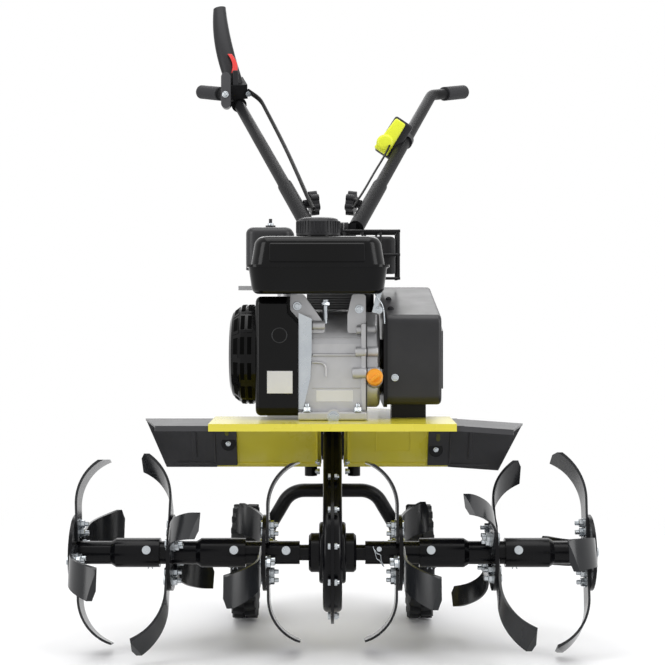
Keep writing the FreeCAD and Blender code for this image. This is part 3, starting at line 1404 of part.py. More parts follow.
def make_cables():
    """Two clutch cables that bow away from the left tube, and the throttle cable."""
    foot, bend, end = handle_line(-1)
    length = (bend - foot).Length
    gap = mm("cable_radius") * 1.2
    cables = []
    for spread in (-1, 1):
        route = []
        for along, out in ((length - 72.3, 22), (length * 0.84, 40), (length * 0.66, 42), (length * 0.47, 37),
                           (length * 0.3, 30), (length * 0.17, 24), (length * 0.06, 20)):
            spot, run, inward, upper = handle_frame(-1, along)
            lift = 15 + 18 * max(0, (along / length - 0.66) / 0.25)
            route.append(spot + inward * out + upper * (spread * gap + lift))
        cables.append(rod(route, mm("cable_radius")))
    node("clutch_cables", shaped(Part.makeCompound(cables)))
    route = []
    throttle_end = mm("throttle_along - throttle_length / 2 - fit_gap")
    for along, out in ((throttle_end, 22), (340, 18.4), (245, 19.6), (150, 18.6), (60, 21)):
        spot, run, inward, upper = handle_frame(1, along)
        route.append(spot + inward * out + upper * 13)
    node("throttle_cable", shaped(rod(route, mm("cable_radius") * 0.8)))


for name, side in SIDES:
    make_fender(name, side)
    make_chain_case(name, side)
    for tier in ("inner", "middle", "outer"):
        make_tine_hub(name, side, tier)
        make_tines(name, side, tier)
    make_wheel(name, side)
    make_upper_handle(name, side)
make_deck()
make_hubs()
make_straps()
make_shaft()
make_tine_pins()
make_wheel_carrier()
make_hitch()
make_crankcase()
make_side_cover()
make_oil_plug()
make_cylinder()
make_bracket()
make_shroud()
make_recoil()
make_tank()
make_cap()
make_air_cleaner()
make_carburettor()
make_muffler()
make_guard()
make_belt_cover()
make_column()
make_lower_handle()
make_knobs()
make_clutch()
make_throttle()
make_cables()

doc.recompute()
for item in doc.Objects:
    if "Invalid" in item.State or "Error" in item.State:
        raise SystemExit(f"{item.Label} did not rebuild: {item.State}")
for label, piece in nodes.items():
    if piece.Label != label:
        raise SystemExit(f"the name {label} is taken")
    if piece.Shape.isNull() or not piece.Shape.isValid():
        raise SystemExit(f"{label} has no valid shape")
os.makedirs("parts", exist_ok=True)
for label, piece in nodes.items():
    piece.Shape.exportStep(f"parts/{label}.step")
print(len(nodes), "sub-parts")
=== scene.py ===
import math

import bpy
from mathutils import Matrix, Vector


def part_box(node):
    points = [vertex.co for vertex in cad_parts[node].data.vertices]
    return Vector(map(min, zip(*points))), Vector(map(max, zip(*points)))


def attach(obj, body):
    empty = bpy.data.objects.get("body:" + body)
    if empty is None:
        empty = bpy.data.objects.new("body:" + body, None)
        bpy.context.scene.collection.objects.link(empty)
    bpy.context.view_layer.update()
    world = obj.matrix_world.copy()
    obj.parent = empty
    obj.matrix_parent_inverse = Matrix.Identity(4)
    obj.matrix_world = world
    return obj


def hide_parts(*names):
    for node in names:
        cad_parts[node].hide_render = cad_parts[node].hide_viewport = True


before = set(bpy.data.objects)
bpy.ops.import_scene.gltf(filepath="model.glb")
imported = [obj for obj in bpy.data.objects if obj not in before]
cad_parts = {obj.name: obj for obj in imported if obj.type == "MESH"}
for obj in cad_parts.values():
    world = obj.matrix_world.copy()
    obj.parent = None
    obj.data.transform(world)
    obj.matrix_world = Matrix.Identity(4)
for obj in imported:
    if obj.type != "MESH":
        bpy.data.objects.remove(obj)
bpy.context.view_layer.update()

# ---------------------------------------------------------------- camera
# A long lens straight in front of the machine, a little above the tines' axle,
# level, with the frame let down so that the tall handlebar fits.
shaft_low, shaft_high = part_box("tine_shaft")
axle = Vector((0, (shaft_low.y + shaft_high.y) / 2, (shaft_low.z + shaft_high.z) / 2))
camera_distance = 2.38
camera_height = 0.5955
bpy.ops.object.camera_add(
    location=(0, axle.y - camera_distance, camera_height),
    rotation=(math.radians(90), 0, 0),
)
camera = bpy.context.object
camera.name = "camera"
camera.data.sensor_width = 36
camera.data.lens = 78.06
camera.data.shift_y = -0.0564
camera.data.clip_start = 0.05
bpy.context.scene.camera = camera

# ---------------------------------------------------------------- studio
# A round white floor that fades out into a white room, one wide soft lamp over the
# machine, a tall one at each side and one behind it.
bpy.context.scene.view_settings.view_transform = "Standard"
white = (1, 1, 1, 1)
room_strength = 0.42
world = bpy.data.worlds.new("studio")
bpy.context.scene.world = world
world.use_nodes = True
nodes = world.node_tree.nodes
links = world.node_tree.links
nodes.clear()
path = nodes.new("ShaderNodeLightPath")
room_light = nodes.new("ShaderNodeBackground")
room_light.inputs["Color"].default_value = white
room_light.inputs["Strength"].default_value = room_strength
room_seen = nodes.new("ShaderNodeBackground")
room_seen.inputs["Color"].default_value = white
room_seen.inputs["Strength"].default_value = 1.0
seen = nodes.new("ShaderNodeMath")
seen.operation = "MAXIMUM"
seen_or_through = nodes.new("ShaderNodeMath")
seen_or_through.operation = "MAXIMUM"
links.new(path.outputs["Is Camera Ray"], seen.inputs[0])
links.new(path.outputs["Is Glossy Ray"], seen.inputs[1])
links.new(seen.outputs[0], seen_or_through.inputs[0])
links.new(path.outputs["Is Transmission Ray"], seen_or_through.inputs[1])
mix = nodes.new("ShaderNodeMixShader")
links.new(seen_or_through.outputs[0], mix.inputs["Fac"])
links.new(room_light.outputs[0], mix.inputs[1])
links.new(room_seen.outputs[0], mix.inputs[2])
room_out = nodes.new("ShaderNodeOutputWorld")
links.new(mix.outputs[0], room_out.inputs["Surface"])

floor_radius = 4.0
floor_drop = 0.0005
fade_start = 0.45
fade_end = 1.35
bpy.ops.object.select_all(action="DESELECT")
bpy.ops.mesh.primitive_circle_add(vertices=96, radius=floor_radius, fill_type="NGON",
                                  location=(0, 0, -floor_drop))
floor = bpy.context.object
floor.name = "floor"
floor_look = bpy.data.materials.new("studio_floor")
floor_look.use_nodes = True
nodes = floor_look.node_tree.nodes
links = floor_look.node_tree.links
nodes.clear()
place = nodes.new("ShaderNodeTexCoord")
from_middle = nodes.new("ShaderNodeVectorMath")
from_middle.operation = "LENGTH"
links.new(place.outputs["Object"], from_middle.inputs[0])
fade = nodes.new("ShaderNodeMapRange")
fade.interpolation_type = "SMOOTHSTEP"
fade.inputs["From Min"].default_value = fade_start
fade.inputs["From Max"].default_value = fade_end
links.new(from_middle.outputs["Value"], fade.inputs["Value"])
matt = nodes.new("ShaderNodeBsdfPrincipled")
matt.inputs["Base Color"].default_value = (0.96, 0.96, 0.97, 1)
matt.inputs["Roughness"].default_value = 0.55
clear = nodes.new("ShaderNodeBsdfTransparent")
blend = nodes.new("ShaderNodeMixShader")
links.new(fade.outputs["Result"], blend.inputs["Fac"])
links.new(matt.outputs[0], blend.inputs[1])
links.new(clear.outputs[0], blend.inputs[2])
floor_out = nodes.new("ShaderNodeOutputMaterial")
links.new(blend.outputs[0], floor_out.inputs["Surface"])
floor.data.materials.append(floor_look)

# name, place, width, height and power of each lamp, all aimed at the engine
lamp_target = Vector((0, -0.25, 0.55))
for lamp_name, spot, width, height, power in (
    ("lamp_over", (0.0, -0.6, 3.4), 3.0, 2.4, 62),
    ("lamp_left", (-2.6, -1.8, 1.5), 1.2, 2.6, 42),
    ("lamp_right", (2.6, -1.8, 1.5), 1.2, 2.6, 42),
    ("lamp_back", (0.0, 2.6, 2.4), 2.4, 1.6, 26),
):
    bpy.ops.object.light_add(type="AREA", location=spot)
    lamp = bpy.context.object
    lamp.name = lamp_name
    lamp.data.shape = "RECTANGLE"
    lamp.data.size = width
    lamp.data.size_y = height
    lamp.data.energy = power
    aim = lamp_target - Vector(spot)
    lamp.rotation_euler = aim.to_track_quat("-Z", "Y").to_euler()

# ---------------------------------------------------------------- deck
# The deck is pressed from sheet steel and has a glossy lime powder coat. Its front edge is
# folded to a round bead, its apron ends in a folded lip, and a rectangle is pressed into
# the apron's right half.


def grain_group(name, kind):
    """A surface texture: a 0..1 tone, and a normal raised by it."""
    group = bpy.data.node_groups.new(name, "ShaderNodeTree")
    face = group.interface
    face.new_socket("Scale", in_out="INPUT", socket_type="NodeSocketFloat")
    face.new_socket("Height", in_out="INPUT", socket_type="NodeSocketFloat")
    face.new_socket("Tone", in_out="OUTPUT", socket_type="NodeSocketFloat")
    face.new_socket("Normal", in_out="OUTPUT", socket_type="NodeSocketVector")
    nodes = group.nodes
    links = group.links
    given = nodes.new("NodeGroupInput")
    made = nodes.new("NodeGroupOutput")
    place = nodes.new("ShaderNodeTexCoord")
    if kind == "pebbled":
        texture = nodes.new("ShaderNodeTexVoronoi")
        texture.feature = "SMOOTH_F1"
        texture.inputs["Smoothness"].default_value = 0.6
        value = texture.outputs["Distance"]
    else:
        texture = nodes.new("ShaderNodeTexNoise")
        texture.inputs["Detail"].default_value = 3.0
        value = texture.outputs["Fac"]
    links.new(place.outputs["Object"], texture.inputs["Vector"])
    links.new(given.outputs["Scale"], texture.inputs["Scale"])
    bump = nodes.new("ShaderNodeBump")
    bump.inputs["Strength"].default_value = 1.0
    links.new(given.outputs["Height"], bump.inputs["Distance"])
    links.new(value, bump.inputs["Height"])
    links.new(value, made.inputs["Tone"])
    links.new(bump.outputs["Normal"], made.inputs["Normal"])
    return group


soft_grain = grain_group("soft_grain", "soft")
pebbled_grain = grain_group("pebbled_grain", "pebbled")


def wear_group():
    """Dust and handling: a broad, cloudy 0..1 tone."""
    group = bpy.data.node_groups.new("cloudy_dust", "ShaderNodeTree")
    group.interface.new_socket("Scale", in_out="INPUT", socket_type="NodeSocketFloat")
    group.interface.new_socket("Tone", in_out="OUTPUT", socket_type="NodeSocketFloat")
    given = group.nodes.new("NodeGroupInput")
    made = group.nodes.new("NodeGroupOutput")
    place = group.nodes.new("ShaderNodeTexCoord")
    cloud = group.nodes.new("ShaderNodeTexNoise")
    cloud.inputs["Detail"].default_value = 5.0
    cloud.inputs["Roughness"].default_value = 0.6
    group.links.new(place.outputs["Object"], cloud.inputs["Vector"])
    group.links.new(given.outputs["Scale"], cloud.inputs["Scale"])
    spread = group.nodes.new("ShaderNodeMapRange")
    spread.inputs["From Min"].default_value = 0.35
    spread.inputs["From Max"].default_value = 0.65
    group.links.new(cloud.outputs["Fac"], spread.inputs["Value"])
    group.links.new(spread.outputs["Result"], made.inputs["Tone"])
    return group


cloudy_dust = wear_group()


def make_finish(name, dark, light, rough, grain, scale, height,
                metal=0.0, coat=0.0, coat_rough=0.1, cloud=9.0, shine=0.5):
    """A material whose colour and gloss wander between two values, over a fine relief."""
    look = bpy.data.materials.new(name)
    look.use_nodes = True
    nodes = look.node_tree.nodes
    links = look.node_tree.links
    shader = nodes["Principled BSDF"]
    relief = nodes.new("ShaderNodeGroup")
    relief.node_tree = grain
    relief.inputs["Scale"].default_value = scale
    relief.inputs["Height"].default_value = height
    dust = nodes.new("ShaderNodeGroup")
    dust.node_tree = cloudy_dust
    dust.inputs["Scale"].default_value = cloud
    colour = nodes.new("ShaderNodeMix")
    colour.data_type = "RGBA"
    colour.inputs["A"].default_value = (*dark, 1)
    colour.inputs["B"].default_value = (*light, 1)
    gloss = nodes.new("ShaderNodeMapRange")
    gloss.inputs["To Min"].default_value = rough[0]
    gloss.inputs["To Max"].default_value = rough[1]
    links.new(dust.outputs["Tone"], colour.inputs["Factor"])
    links.new(dust.outputs["Tone"], gloss.inputs["Value"])
    links.new(colour.outputs["Result"], shader.inputs["Base Color"])
    links.new(gloss.outputs["Result"], shader.inputs["Roughness"])
    links.new(relief.outputs["Normal"], shader.inputs["Normal"])
    shader.inputs["Metallic"].default_value = metal
    shader.inputs["Specular IOR Level"].default_value = shine
    shader.inputs["Coat Weight"].default_value = coat
    shader.inputs["Coat Roughness"].default_value = coat_rough
    return look


def dress(look, *names):
    """Gives CAD nodes a finish."""
    for name in names:
        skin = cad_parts[name].data
        skin.materials.clear()
        skin.materials.append(look)


def alone(piece):
    """Leaves one object selected and active."""
    bpy.ops.object.select_all(action="DESELECT")
    piece.select_set(True)
    bpy.context.view_layer.objects.active = piece


def joined(pieces, name, look=None):
    """Makes several objects one, with its place in its mesh."""
    bpy.ops.object.select_all(action="DESELECT")
    for piece in pieces:
        piece.select_set(True)
    bpy.context.view_layer.objects.active = pieces[0]
    if len(pieces) > 1:
        bpy.ops.object.join()
    whole = bpy.context.object
    whole.name = name
    whole.data.name = name
    bpy.ops.object.transform_apply(location=True, rotation=True, scale=True)
    if look is not None:
        whole.data.materials.clear()
        whole.data.materials.append(look)
    return whole


def bevelled(piece, width, segments, angle=35):
    """Rounds the sharp edges of a piece."""
    rounding = piece.modifiers.new("edges", "BEVEL")
    rounding.width = width
    rounding.segments = segments
    rounding.limit_method = "ANGLE"
    rounding.angle_limit = math.radians(angle)
    alone(piece)
    bpy.ops.object.modifier_apply(modifier=rounding.name)


def block(size, location=(0, 0, 0), turn=(0, 0, 0)):
    """A blank with square edges, to be bevelled or shaped further."""
    bpy.ops.object.select_all(action="DESELECT")
    bpy.ops.mesh.primitive_cube_add(size=1, location=location, rotation=turn)
    blank = bpy.context.object
    blank.scale = size
    bpy.ops.object.transform_apply(location=True, rotation=True, scale=True)
    return blank


def bar_along_x(x_from, x_to, y, z, depth, height, round_off, turn=0.0):
    """A rounded bar that runs along X, its middle at y and z."""
    bar = block((x_to - x_from, depth, height), ((x_from + x_to) / 2, y, z), (0, turn, 0))
    bevelled(bar, round_off, 3)
    return bar


def front_seat(node, x, z):
    """The point on a CAD node's front that lies at this x and z."""
    hit, spot, facing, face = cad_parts[node].ray_cast(Vector((x, -2, z)), Vector((0, 1, 0)))
    if not hit:
        raise ValueError(f"{node} has no front at x {x} and z {z}")
    return spot


def pressed_strip(node, x_from, x_to, z_from, z_to, proud, round_off=0.001):
    """A pressed strip that stands out from a sloping sheet."""
    low = front_seat(node, (x_from + x_to) / 2, z_from)
    high = front_seat(node, (x_from + x_to) / 2, z_to)
    lean = math.atan2(low.y - high.y, z_to - z_from)
    strip = block((x_to - x_from, 2 * proud, (high - low).length), (low + high) / 2, (lean, 0, 0))
    bevelled(strip, round_off, 2)
    return strip


lime_paint = make_finish("lime_paint", (0.82, 0.72, 0.050), (0.86, 0.76, 0.062),
                         (0.24, 0.32), soft_grain, 900, 0.00003, coat=0.5, coat_rough=0.12)
dress(lime_paint, "base_frame")
deck_low, deck_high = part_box("base_frame")
bead_height = 0.011
bead_depth = 0.0115
apron_inner = 0.026
apron_outer = 0.163
apron_foot = 0.3005
apron_top = 0.371
lip_height = 0.004
apron_pieces = [bar_along_x(deck_low.x + 0.0005, deck_high.x - 0.0005, deck_low.y + 0.006,
                            deck_high.z - bead_height / 2 - 0.0004, bead_depth, bead_height, 0.005)]
for side in (-1, 1):
    x_from, x_to = sorted((side * apron_inner, side * apron_outer))
    outer = side * apron_outer
    inner = side * apron_inner
    apron_pieces += [
        pressed_strip("base_frame", x_from, x_to, apron_foot, apron_foot + lip_height, 0.002),
        pressed_strip("base_frame", outer - 0.0015, outer + 0.0015, apron_foot, apron_top, 0.0012, 0.0008),
        pressed_strip("base_frame", inner - 0.0018, inner + 0.0018, apron_foot, apron_top, 0.004),
    ]
panel_left, panel_right = 0.074, 0.134
panel_foot, panel_top = 0.3245, 0.3615
crease = 0.0018
for x_from, x_to, z_from, z_to in (
    (panel_left, panel_right, panel_foot, panel_foot + crease),
    (panel_left, panel_right, panel_top - crease, panel_top),
    (panel_left, panel_left + crease, panel_foot, panel_top),
    (panel_right - crease, panel_right, panel_foot, panel_top),
):
    apron_pieces.append(pressed_strip("base_frame", x_from, x_to, z_from, z_to, 0.0009, 0.0006))
deck_press = joined(apron_pieces, "deck_pressings", lime_paint)
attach(deck_press, "chassis")

# ---------------------------------------------------------------- wings
# Each wing is pressed sheet steel in satin black powder coat, bolted to the deck's apron.
# It has a joggle beside the deck, a rib down its middle and a folded lower edge.
wing_satin = make_finish("wing_satin", (0.048, 0.048, 0.052), (0.060, 0.060, 0.064),
                         (0.34, 0.44), soft_grain, 1200, 0.000008, shine=0.3)
dress(wing_satin, "fender_left", "fender_right")
pressings = []
for side, node, foot in ((-1, "fender_left", 0.3035), (1, "fender_right", 0.3005)):
    for inner, outer, z_from, z_to, proud in (
        (0.2010, 0.2035, foot + 0.002, 0.369, 0.0012),
        (0.2340, 0.2415, foot + 0.012, 0.366, 0.0016),
        (0.2045, 0.2700, foot, foot + 0.0025, 0.0018),
    ):
        x_from, x_to = sorted((side * inner, side * outer))
        pressings.append(pressed_strip(node, x_from, x_to, z_from, z_to, proud))
wing_pressings = joined(pressings, "wing_pressings", wing_satin)
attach(wing_pressings, "chassis")

# ---------------------------------------------------------------- frame and chain case
# Column, handle tubes, hitch and carrier are welded steel in a satin black powder coat.
# The chain case is pressed in two halves and painted in a glossier black.
tube_satin = make_finish("tube_satin", (0.010, 0.010, 0.011), (0.014, 0.014, 0.015),
                         (0.36, 0.44), soft_grain, 400, 0.000001, shine=0.05)
dress(tube_satin, "handle_column", "lower_handle", "upper_handle_left", "upper_handle_right",
      "lever_bracket")
black_satin = make_finish("black_satin", (0.006, 0.006, 0.007), (0.009, 0.009, 0.010),
                          (0.28, 0.38), soft_grain, 1400, 0.000008, shine=0.16)
dress(black_satin, "rear_hitch", "wheel_carrier", "belt_backplate", "belt_cover_post", "buffer_tubes")
case_gloss = make_finish("case_gloss", (0.003, 0.003, 0.004), (0.005, 0.005, 0.006),
                         (0.18, 0.28), soft_grain, 1100, 0.000008, shine=0.14)
dress(case_gloss, "chain_case_left", "chain_case_right", "case_straps", "bearing_hubs")

# ---------------------------------------------------------------- tines
# Each plate carries four curved blades of spring steel, painted black. Two zinc-plated M8
# bolts hold each blade: head outside, nut and thread end towards the chain case.
tube_gloss = make_finish("tube_gloss", (0.003, 0.003, 0.004), (0.005, 0.005, 0.006),
                         (0.18, 0.28), soft_grain, 900, 0.000008, shine=0.14)
blade_black = make_finish("blade_black", (0.010, 0.011, 0.013), (0.015, 0.016, 0.018),
                          (0.16, 0.24), soft_grain, 500, 0.000003, shine=0.36)
zinc = make_finish("zinc", (0.44, 0.47, 0.50), (0.52, 0.55, 0.57),
                   (0.22, 0.32), soft_grain, 900, 0.00001, metal=1.0, cloud=22)
dress(tube_gloss, "tine_shaft")
dress(zinc, "tine_pins")
for tier in ("inner", "middle", "outer"):
    for side_name in ("left", "right"):
        dress(tube_gloss, f"tine_hub_{tier}_{side_name}")
        dress(blade_black, f"tines_{tier}_{side_name}")


def cylinder(radius, depth, corners, location, turn=(0, 0, 0)):
    """A round or many-sided blank, upright unless it is turned."""
    bpy.ops.object.select_all(action="DESELECT")
    bpy.ops.mesh.primitive_cylinder_add(vertices=corners, radius=radius, depth=depth,
                                        location=location, rotation=turn)
    blank = bpy.context.object
    bpy.ops.object.transform_apply(location=True, rotation=True, scale=True)
    return blank


def rod_along_x(start, length, radius, corners):
    """A rod or hexagon bar that runs along X from a start."""
    return cylinder(radius, length, corners, (start + length / 2, 0, 0), (0, math.radians(90), 0))


def copied(piece, matrix):
    """A copy with its own mesh, moved by a matrix."""
    twin = piece.copy()
    twin.data = piece.data.copy()
    bpy.context.collection.objects.link(twin)
    twin.matrix_world = matrix
    return twin


def tine_bolt():
    """An M8 bolt along X: its head, a grip from 0 to 10 mm, then washer, nut and thread end."""
    hexagon_radius = 0.0075
    head = rod_along_x(-0.0038, 0.0038, hexagon_radius, 6)
    bevelled(head, 0.0006, 1)
    nut = rod_along_x(0.0116, 0.0065, hexagon_radius, 6)
    bevelled(nut, 0.0006, 1)
    washer = rod_along_x(0.010, 0.0016, 0.0085, 20)
    thread = rod_along_x(0.018, 0.007, 0.0038, 12)
    bevelled(thread, 0.0006, 1)
    shank = rod_along_x(-0.0002, 0.0104, 0.0039, 12)
    return joined([head, nut, washer, thread, shank], "tine_bolt")


plate_places = {"inner": 0.111, "middle": 0.265, "outer": 0.423}
plate_turns = {-1: {"inner": 10.5, "middle": -27.5, "outer": 6},
               1: {"inner": 11.5, "middle": -41, "outer": -10.5}}
plate_gauge = 0.006
blade_gauge = 0.004
bolt_radii = (0.033, 0.048)
# whether a plate's even blades, and its odd ones, lie on its outer face
outer_blades = {"inner": (False, True), "middle": (True, False), "outer": (False, False)}
pattern_bolt = tine_bolt()
bolts = []
for side in (-1, 1):
    facing = Matrix.Rotation(math.radians(180 if side > 0 else 0), 4, "Z")
    for tier, plate in plate_places.items():
        for number in range(4):
            angle = math.radians(90 * number + plate_turns[side][tier])
            outward = outer_blades[tier][number % 2]
            outer_face = plate + plate_gauge / 2 + (blade_gauge if outward else 0)
            for reach in bolt_radii:
                spot = axle + Vector((side * outer_face, -reach * math.sin(angle), reach * math.cos(angle)))
                spin = Matrix.Rotation(angle + reach * 90, 4, "X")
                bolts.append(copied(pattern_bolt, Matrix.Translation(spot) @ spin @ facing))
bpy.data.objects.remove(pattern_bolt)
tine_bolts = joined(bolts, "tine_bolts", zinc)
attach(tine_bolts, "tine_rotor")

# ---------------------------------------------------------------- pin clips
# Spring clips of zinc-plated wire hold the clevis pins. The inner right pin shows its clip
# in front, and the others show only the clip's two ends below the sleeve.


def wire(points, radius):
    """A bent wire or moulded rib along given points."""
    bpy.ops.object.select_all(action="DESELECT")
    bpy.ops.curve.primitive_nurbs_path_add(radius=1, location=(0, 0, 0))
    line = bpy.context.object
    line.data.splines.clear()
    spline = line.data.splines.new("NURBS")
    spline.points.add(len(points) - 1)
    for corner, spot in zip(spline.points, points):
        corner.co = (*spot, 1)
    spline.order_u = 3
    spline.use_endpoint_u = True
    line.data.bevel_depth = radius
    line.data.bevel_resolution = 3
    line.data.resolution_u = 6
    line.data.use_fill_caps = True
    bpy.ops.object.convert(target="MESH")
    return joined([bpy.context.object], "wire")


clip_wire = 0.0008
pin_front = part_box("tine_pins")[0].y
clip_middle = Vector((0.0752, pin_front - 0.0010, axle.z))
clips = []
for lift, bends in (
    (0.0, ((-0.0095, 0.0165), (-0.0060, 0.0090), (-0.0030, 0.0050), (0.0034, 0.0034), (0.0034, -0.0030),
           (0.0040, -0.0070), (0.0085, -0.0165))),
    (-0.0008, ((-0.0088, 0.0150), (-0.0062, 0.0070), (-0.0046, 0.0010), (-0.0030, -0.0040),
               (0.0022, -0.0060), (0.0070, -0.0150))),
):
    clips.append(wire([clip_middle + Vector((dx, lift, dz)) for dx, dz in bends], clip_wire))
sleeve_bottom = axle.z - 0.0195
for pin_x in (-0.300, -0.160, 0.160, 0.300):
    for lean in (-1, 1):
        top = Vector((pin_x + lean * 0.0012, axle.y - 0.004, sleeve_bottom + 0.002))
        bend = top + Vector((lean * 0.0008, -0.001, -0.005))
        end = top + Vector((lean * 0.003, -0.001, -0.009))
        clips.append(wire([top, bend, end], clip_wire))
pin_clips = joined(clips, "pin_clips", zinc)
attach(pin_clips, "tine_rotor")

# ---------------------------------------------------------------- engine castings
# The crankcase, its side cover and the carburettor are die-cast aluminium, dull silver
# with a fine grain. The barrel and the head are cast alloy too. They are coloured near-black
# as painted shade, for the tank's shadow that falls on them.
cast_alloy = make_finish("cast_alloy", (0.42, 0.42, 0.43), (0.50, 0.50, 0.51),
                         (0.34, 0.46), soft_grain, 1600, 0.00008, metal=0.55, cloud=14)
dress(cast_alloy, "crankcase", "crankcase_cover", "carburettor")
barrel_painted_shade_and_gasket = make_finish("barrel_painted_shade_and_gasket", (0.030, 0.030, 0.031), (0.045, 0.045, 0.046),
                           (0.5, 0.6), soft_grain, 900, 0.00005, shine=0.25)
dress(barrel_painted_shade_and_gasket, "cylinder_block", "cylinder_head")
dress(zinc, "side_bracket")

# ---------------------------------------------------------------- case bolts
# Zinc-plated hexagon heads with a pressed flange are screwed into the tank's arms and the
# middle of the foot. Two studs with washers and nuts stand on the foot's ledge.


def post(spot, radius, length, corners=24, round_off=0.0006, sink=0.002):
    """A round or hexagonal post that stands out towards the front from a spot."""
    piece = cylinder(radius, length + sink, corners,
                     (spot.x, spot.y + (sink - length) / 2, spot.z), (math.radians(90), 0, 0))
    bevelled(piece, round_off, 2)
    return piece


def flange_bolt(spot, size, height):
    """A hexagon head on its flange, facing the front."""
    flange_height = 0.0018
    flange = post(spot, size * 1.5, flange_height)
    head = post(spot + Vector((0, -flange_height, 0)), size, height, 6)
    return [flange, head]


def upright_stack(x, y, z, layers, round_off):
    """Upright discs and hexagons on top of one another: corners, radius and height of each."""
    stacked = []
    for corners, radius, height in layers:
        layer = cylinder(radius, height, corners, (x, y, z + height / 2))
        bevelled(layer, round_off, 1)
        stacked.append(layer)
        z += height
    return stacked


case_bolts = []
for x, z in ((-0.059, 0.577), (0.0446, 0.572)):
    case_bolts += flange_bolt(front_seat("crankcase", x, z), 0.005, 0.005)
crank_front = front_seat("crankcase", 0, 0.440).y
foot_bottom = 0.3885
foot_top = 0.4025
foot_depth = 0.017
foot_bolt_x = 0.0015
washer_nut_stud = ((28, 0.0092, 0.0016), (6, 0.0068, 0.0065), (16, 0.0038, 0.006))
for x in (-0.042, 0.042):
    stud_y = crank_front - foot_depth * 0.55
    case_bolts += upright_stack(x, stud_y, foot_top, washer_nut_stud, 0.0005)
case_bolts += flange_bolt(Vector((foot_bolt_x, crank_front - foot_depth, 0.3945)), 0.0068, 0.005)
case_bolts = joined(case_bolts, "case_bolts", zinc)
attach(case_bolts, "chassis")

# ---------------------------------------------------------------- cast ribs
# The foot's ledge, the ribs, the tapped bosses and a curved web are cast in one with the
# crankcase and its side cover. A dark gasket fills the joint between the two.


def cast_bar(low, high, proud, round_off=0.002):
    """A cast rib between two corners in x and z, standing out from the crankcase's front."""
    root = 0.008
    x = (low[0] + high[0]) / 2
    z = (low[1] + high[1]) / 2
    y = front_seat("crankcase", x, z).y + (root - proud) / 2
    bar = block((high[0] - low[0], proud + root, high[1] - low[1]), (x, y, z))
    bevelled(bar, round_off, 3)
    return bar


def cast_boss(x_from, x_to, z, radius, node, proud):
    """A round boss that lies along X on a node's front."""
    seat = front_seat(node, (x_from + x_to) / 2, z)
    boss = rod_along_x(x_from, x_to - x_from, radius, 24)
    boss.location = (0, seat.y + radius - proud, z)
    bevelled(boss, 0.0012, 2)
    return boss


ledge_root = 0.004
castings = [
    bar_along_x(-0.057, 0.057, crank_front + (ledge_root - foot_depth) / 2, (foot_bottom + foot_top) / 2,
                foot_depth + ledge_root, foot_top - foot_bottom, 0.003),
    post(Vector((foot_bolt_x, crank_front - foot_depth + 0.001, 0.3955)), 0.0115, 0.002, 28),
    cast_bar((-0.034, 0.4935), (0.050, 0.4985), 0.0035),
    cast_bar((-0.034, 0.5225), (0.050, 0.5245), 0.0012, 0.0008),
    cast_bar((0.0475, 0.4040), (0.0560, 0.548), 0.0055, 0.0015),
    cast_bar((-0.034, 0.4400), (0.046, 0.4418), 0.001, 0.0008),
    cast_boss(-0.034, -0.0126, 0.545, 0.008, "crankcase", 0.009),
    cast_boss(0.0380, 0.0560, 0.5010, 0.0088, "crankcase", 0.0105),
    cast_boss(0.0330, 0.0560, 0.4660, 0.0094, "crankcase", 0.0115),
    cast_boss(0.0400, 0.0560, 0.5380, 0.0078, "crankcase", 0.0095),
    cast_boss(0.0574, 0.0760, 0.5010, 0.0088, "crankcase_cover", 0.0100),
    cast_boss(0.0574, 0.0790, 0.4660, 0.0094, "crankcase_cover", 0.0110),
    cast_boss(0.0574, 0.0730, 0.5380, 0.0078, "crankcase_cover", 0.0090),
]
web_y = crank_front + 0.0008
web = [(-0.0340, 0.4838), (-0.0200, 0.4838), (-0.0135, 0.4800), (-0.0108, 0.4735), (-0.0108, 0.4600)]
castings.append(wire([Vector((x, web_y, z)) for x, z in web], 0.0022))
castings = joined(castings, "cast_ribs", cast_alloy)
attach(castings, "chassis")
# the gasket's dark is its own colour; it borrows the near-black made as the barrel's painted shade
seam = bar_along_x(0.0560, 0.0573, crank_front + 0.001, 0.478, 0.010, 0.148, 0.0003)
gasket = joined([seam], "case_gasket", barrel_painted_shade_and_gasket)
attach(gasket, "chassis")

# ---------------------------------------------------------------- breather and governor
# A breather pipe with a hexagon collar stands between the tank's arms. The governor's lever
# and its bent rod lie between the crankcase and the belt cover. All are zinc plated.
pipe_collar_cap = ((24, 0.0046, 0.048), (6, 0.0082, 0.0055), (24, 0.0060, 0.0045))
linkage = upright_stack(-0.012, crank_front + 0.031, 0.530, pipe_collar_cap, 0.0006)
plate_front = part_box("belt_backplate")[0].y
linkage.append(bar_along_x(0.0700, 0.0782, plate_front - 0.0005, 0.585, 0.0025, 0.040, 0.0008,
                           math.radians(14)))
linkage += flange_bolt(Vector((0.0775, plate_front - 0.001, 0.5705)), 0.0042, 0.004)
rod_bends = ((0.0690, 0.003, 0.601), (0.0740, 0.005, 0.590), (0.0860, 0.004, 0.577), (0.0865, 0.002, 0.548))
linkage.append(wire([Vector((x, plate_front - out, z)) for x, out, z in rod_bends], 0.0011))
governor_links = joined(linkage, "governor_links", zinc)
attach(governor_links, "chassis")

# ---------------------------------------------------------------- rating plates
# Two blank rating plates of thin white sheet: one is fixed to the crankcase's face, the
# other to the fan shroud.
plate_white = make_finish("plate_white", (0.66, 0.66, 0.66), (0.72, 0.72, 0.72),
                          (0.34, 0.42), soft_grain, 900, 0.00002)
for plate_name, node, x_span, z_span in (
    ("crankcase_plate", "crankcase", (-0.027, 0.034), (0.4185, 0.4375)),
    ("shroud_plate", "fan_shroud", (-0.108, -0.066), (0.433, 0.470)),
):
    x = sum(x_span) / 2
    z = sum(z_span) / 2
    plate = block((x_span[1] - x_span[0], 0.0008, z_span[1] - z_span[0]), (x, front_seat(node, x, z).y, z))
    bevelled(plate, 0.0003, 1)
    plate = joined([plate], plate_name, plate_white)
    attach(plate, "chassis")

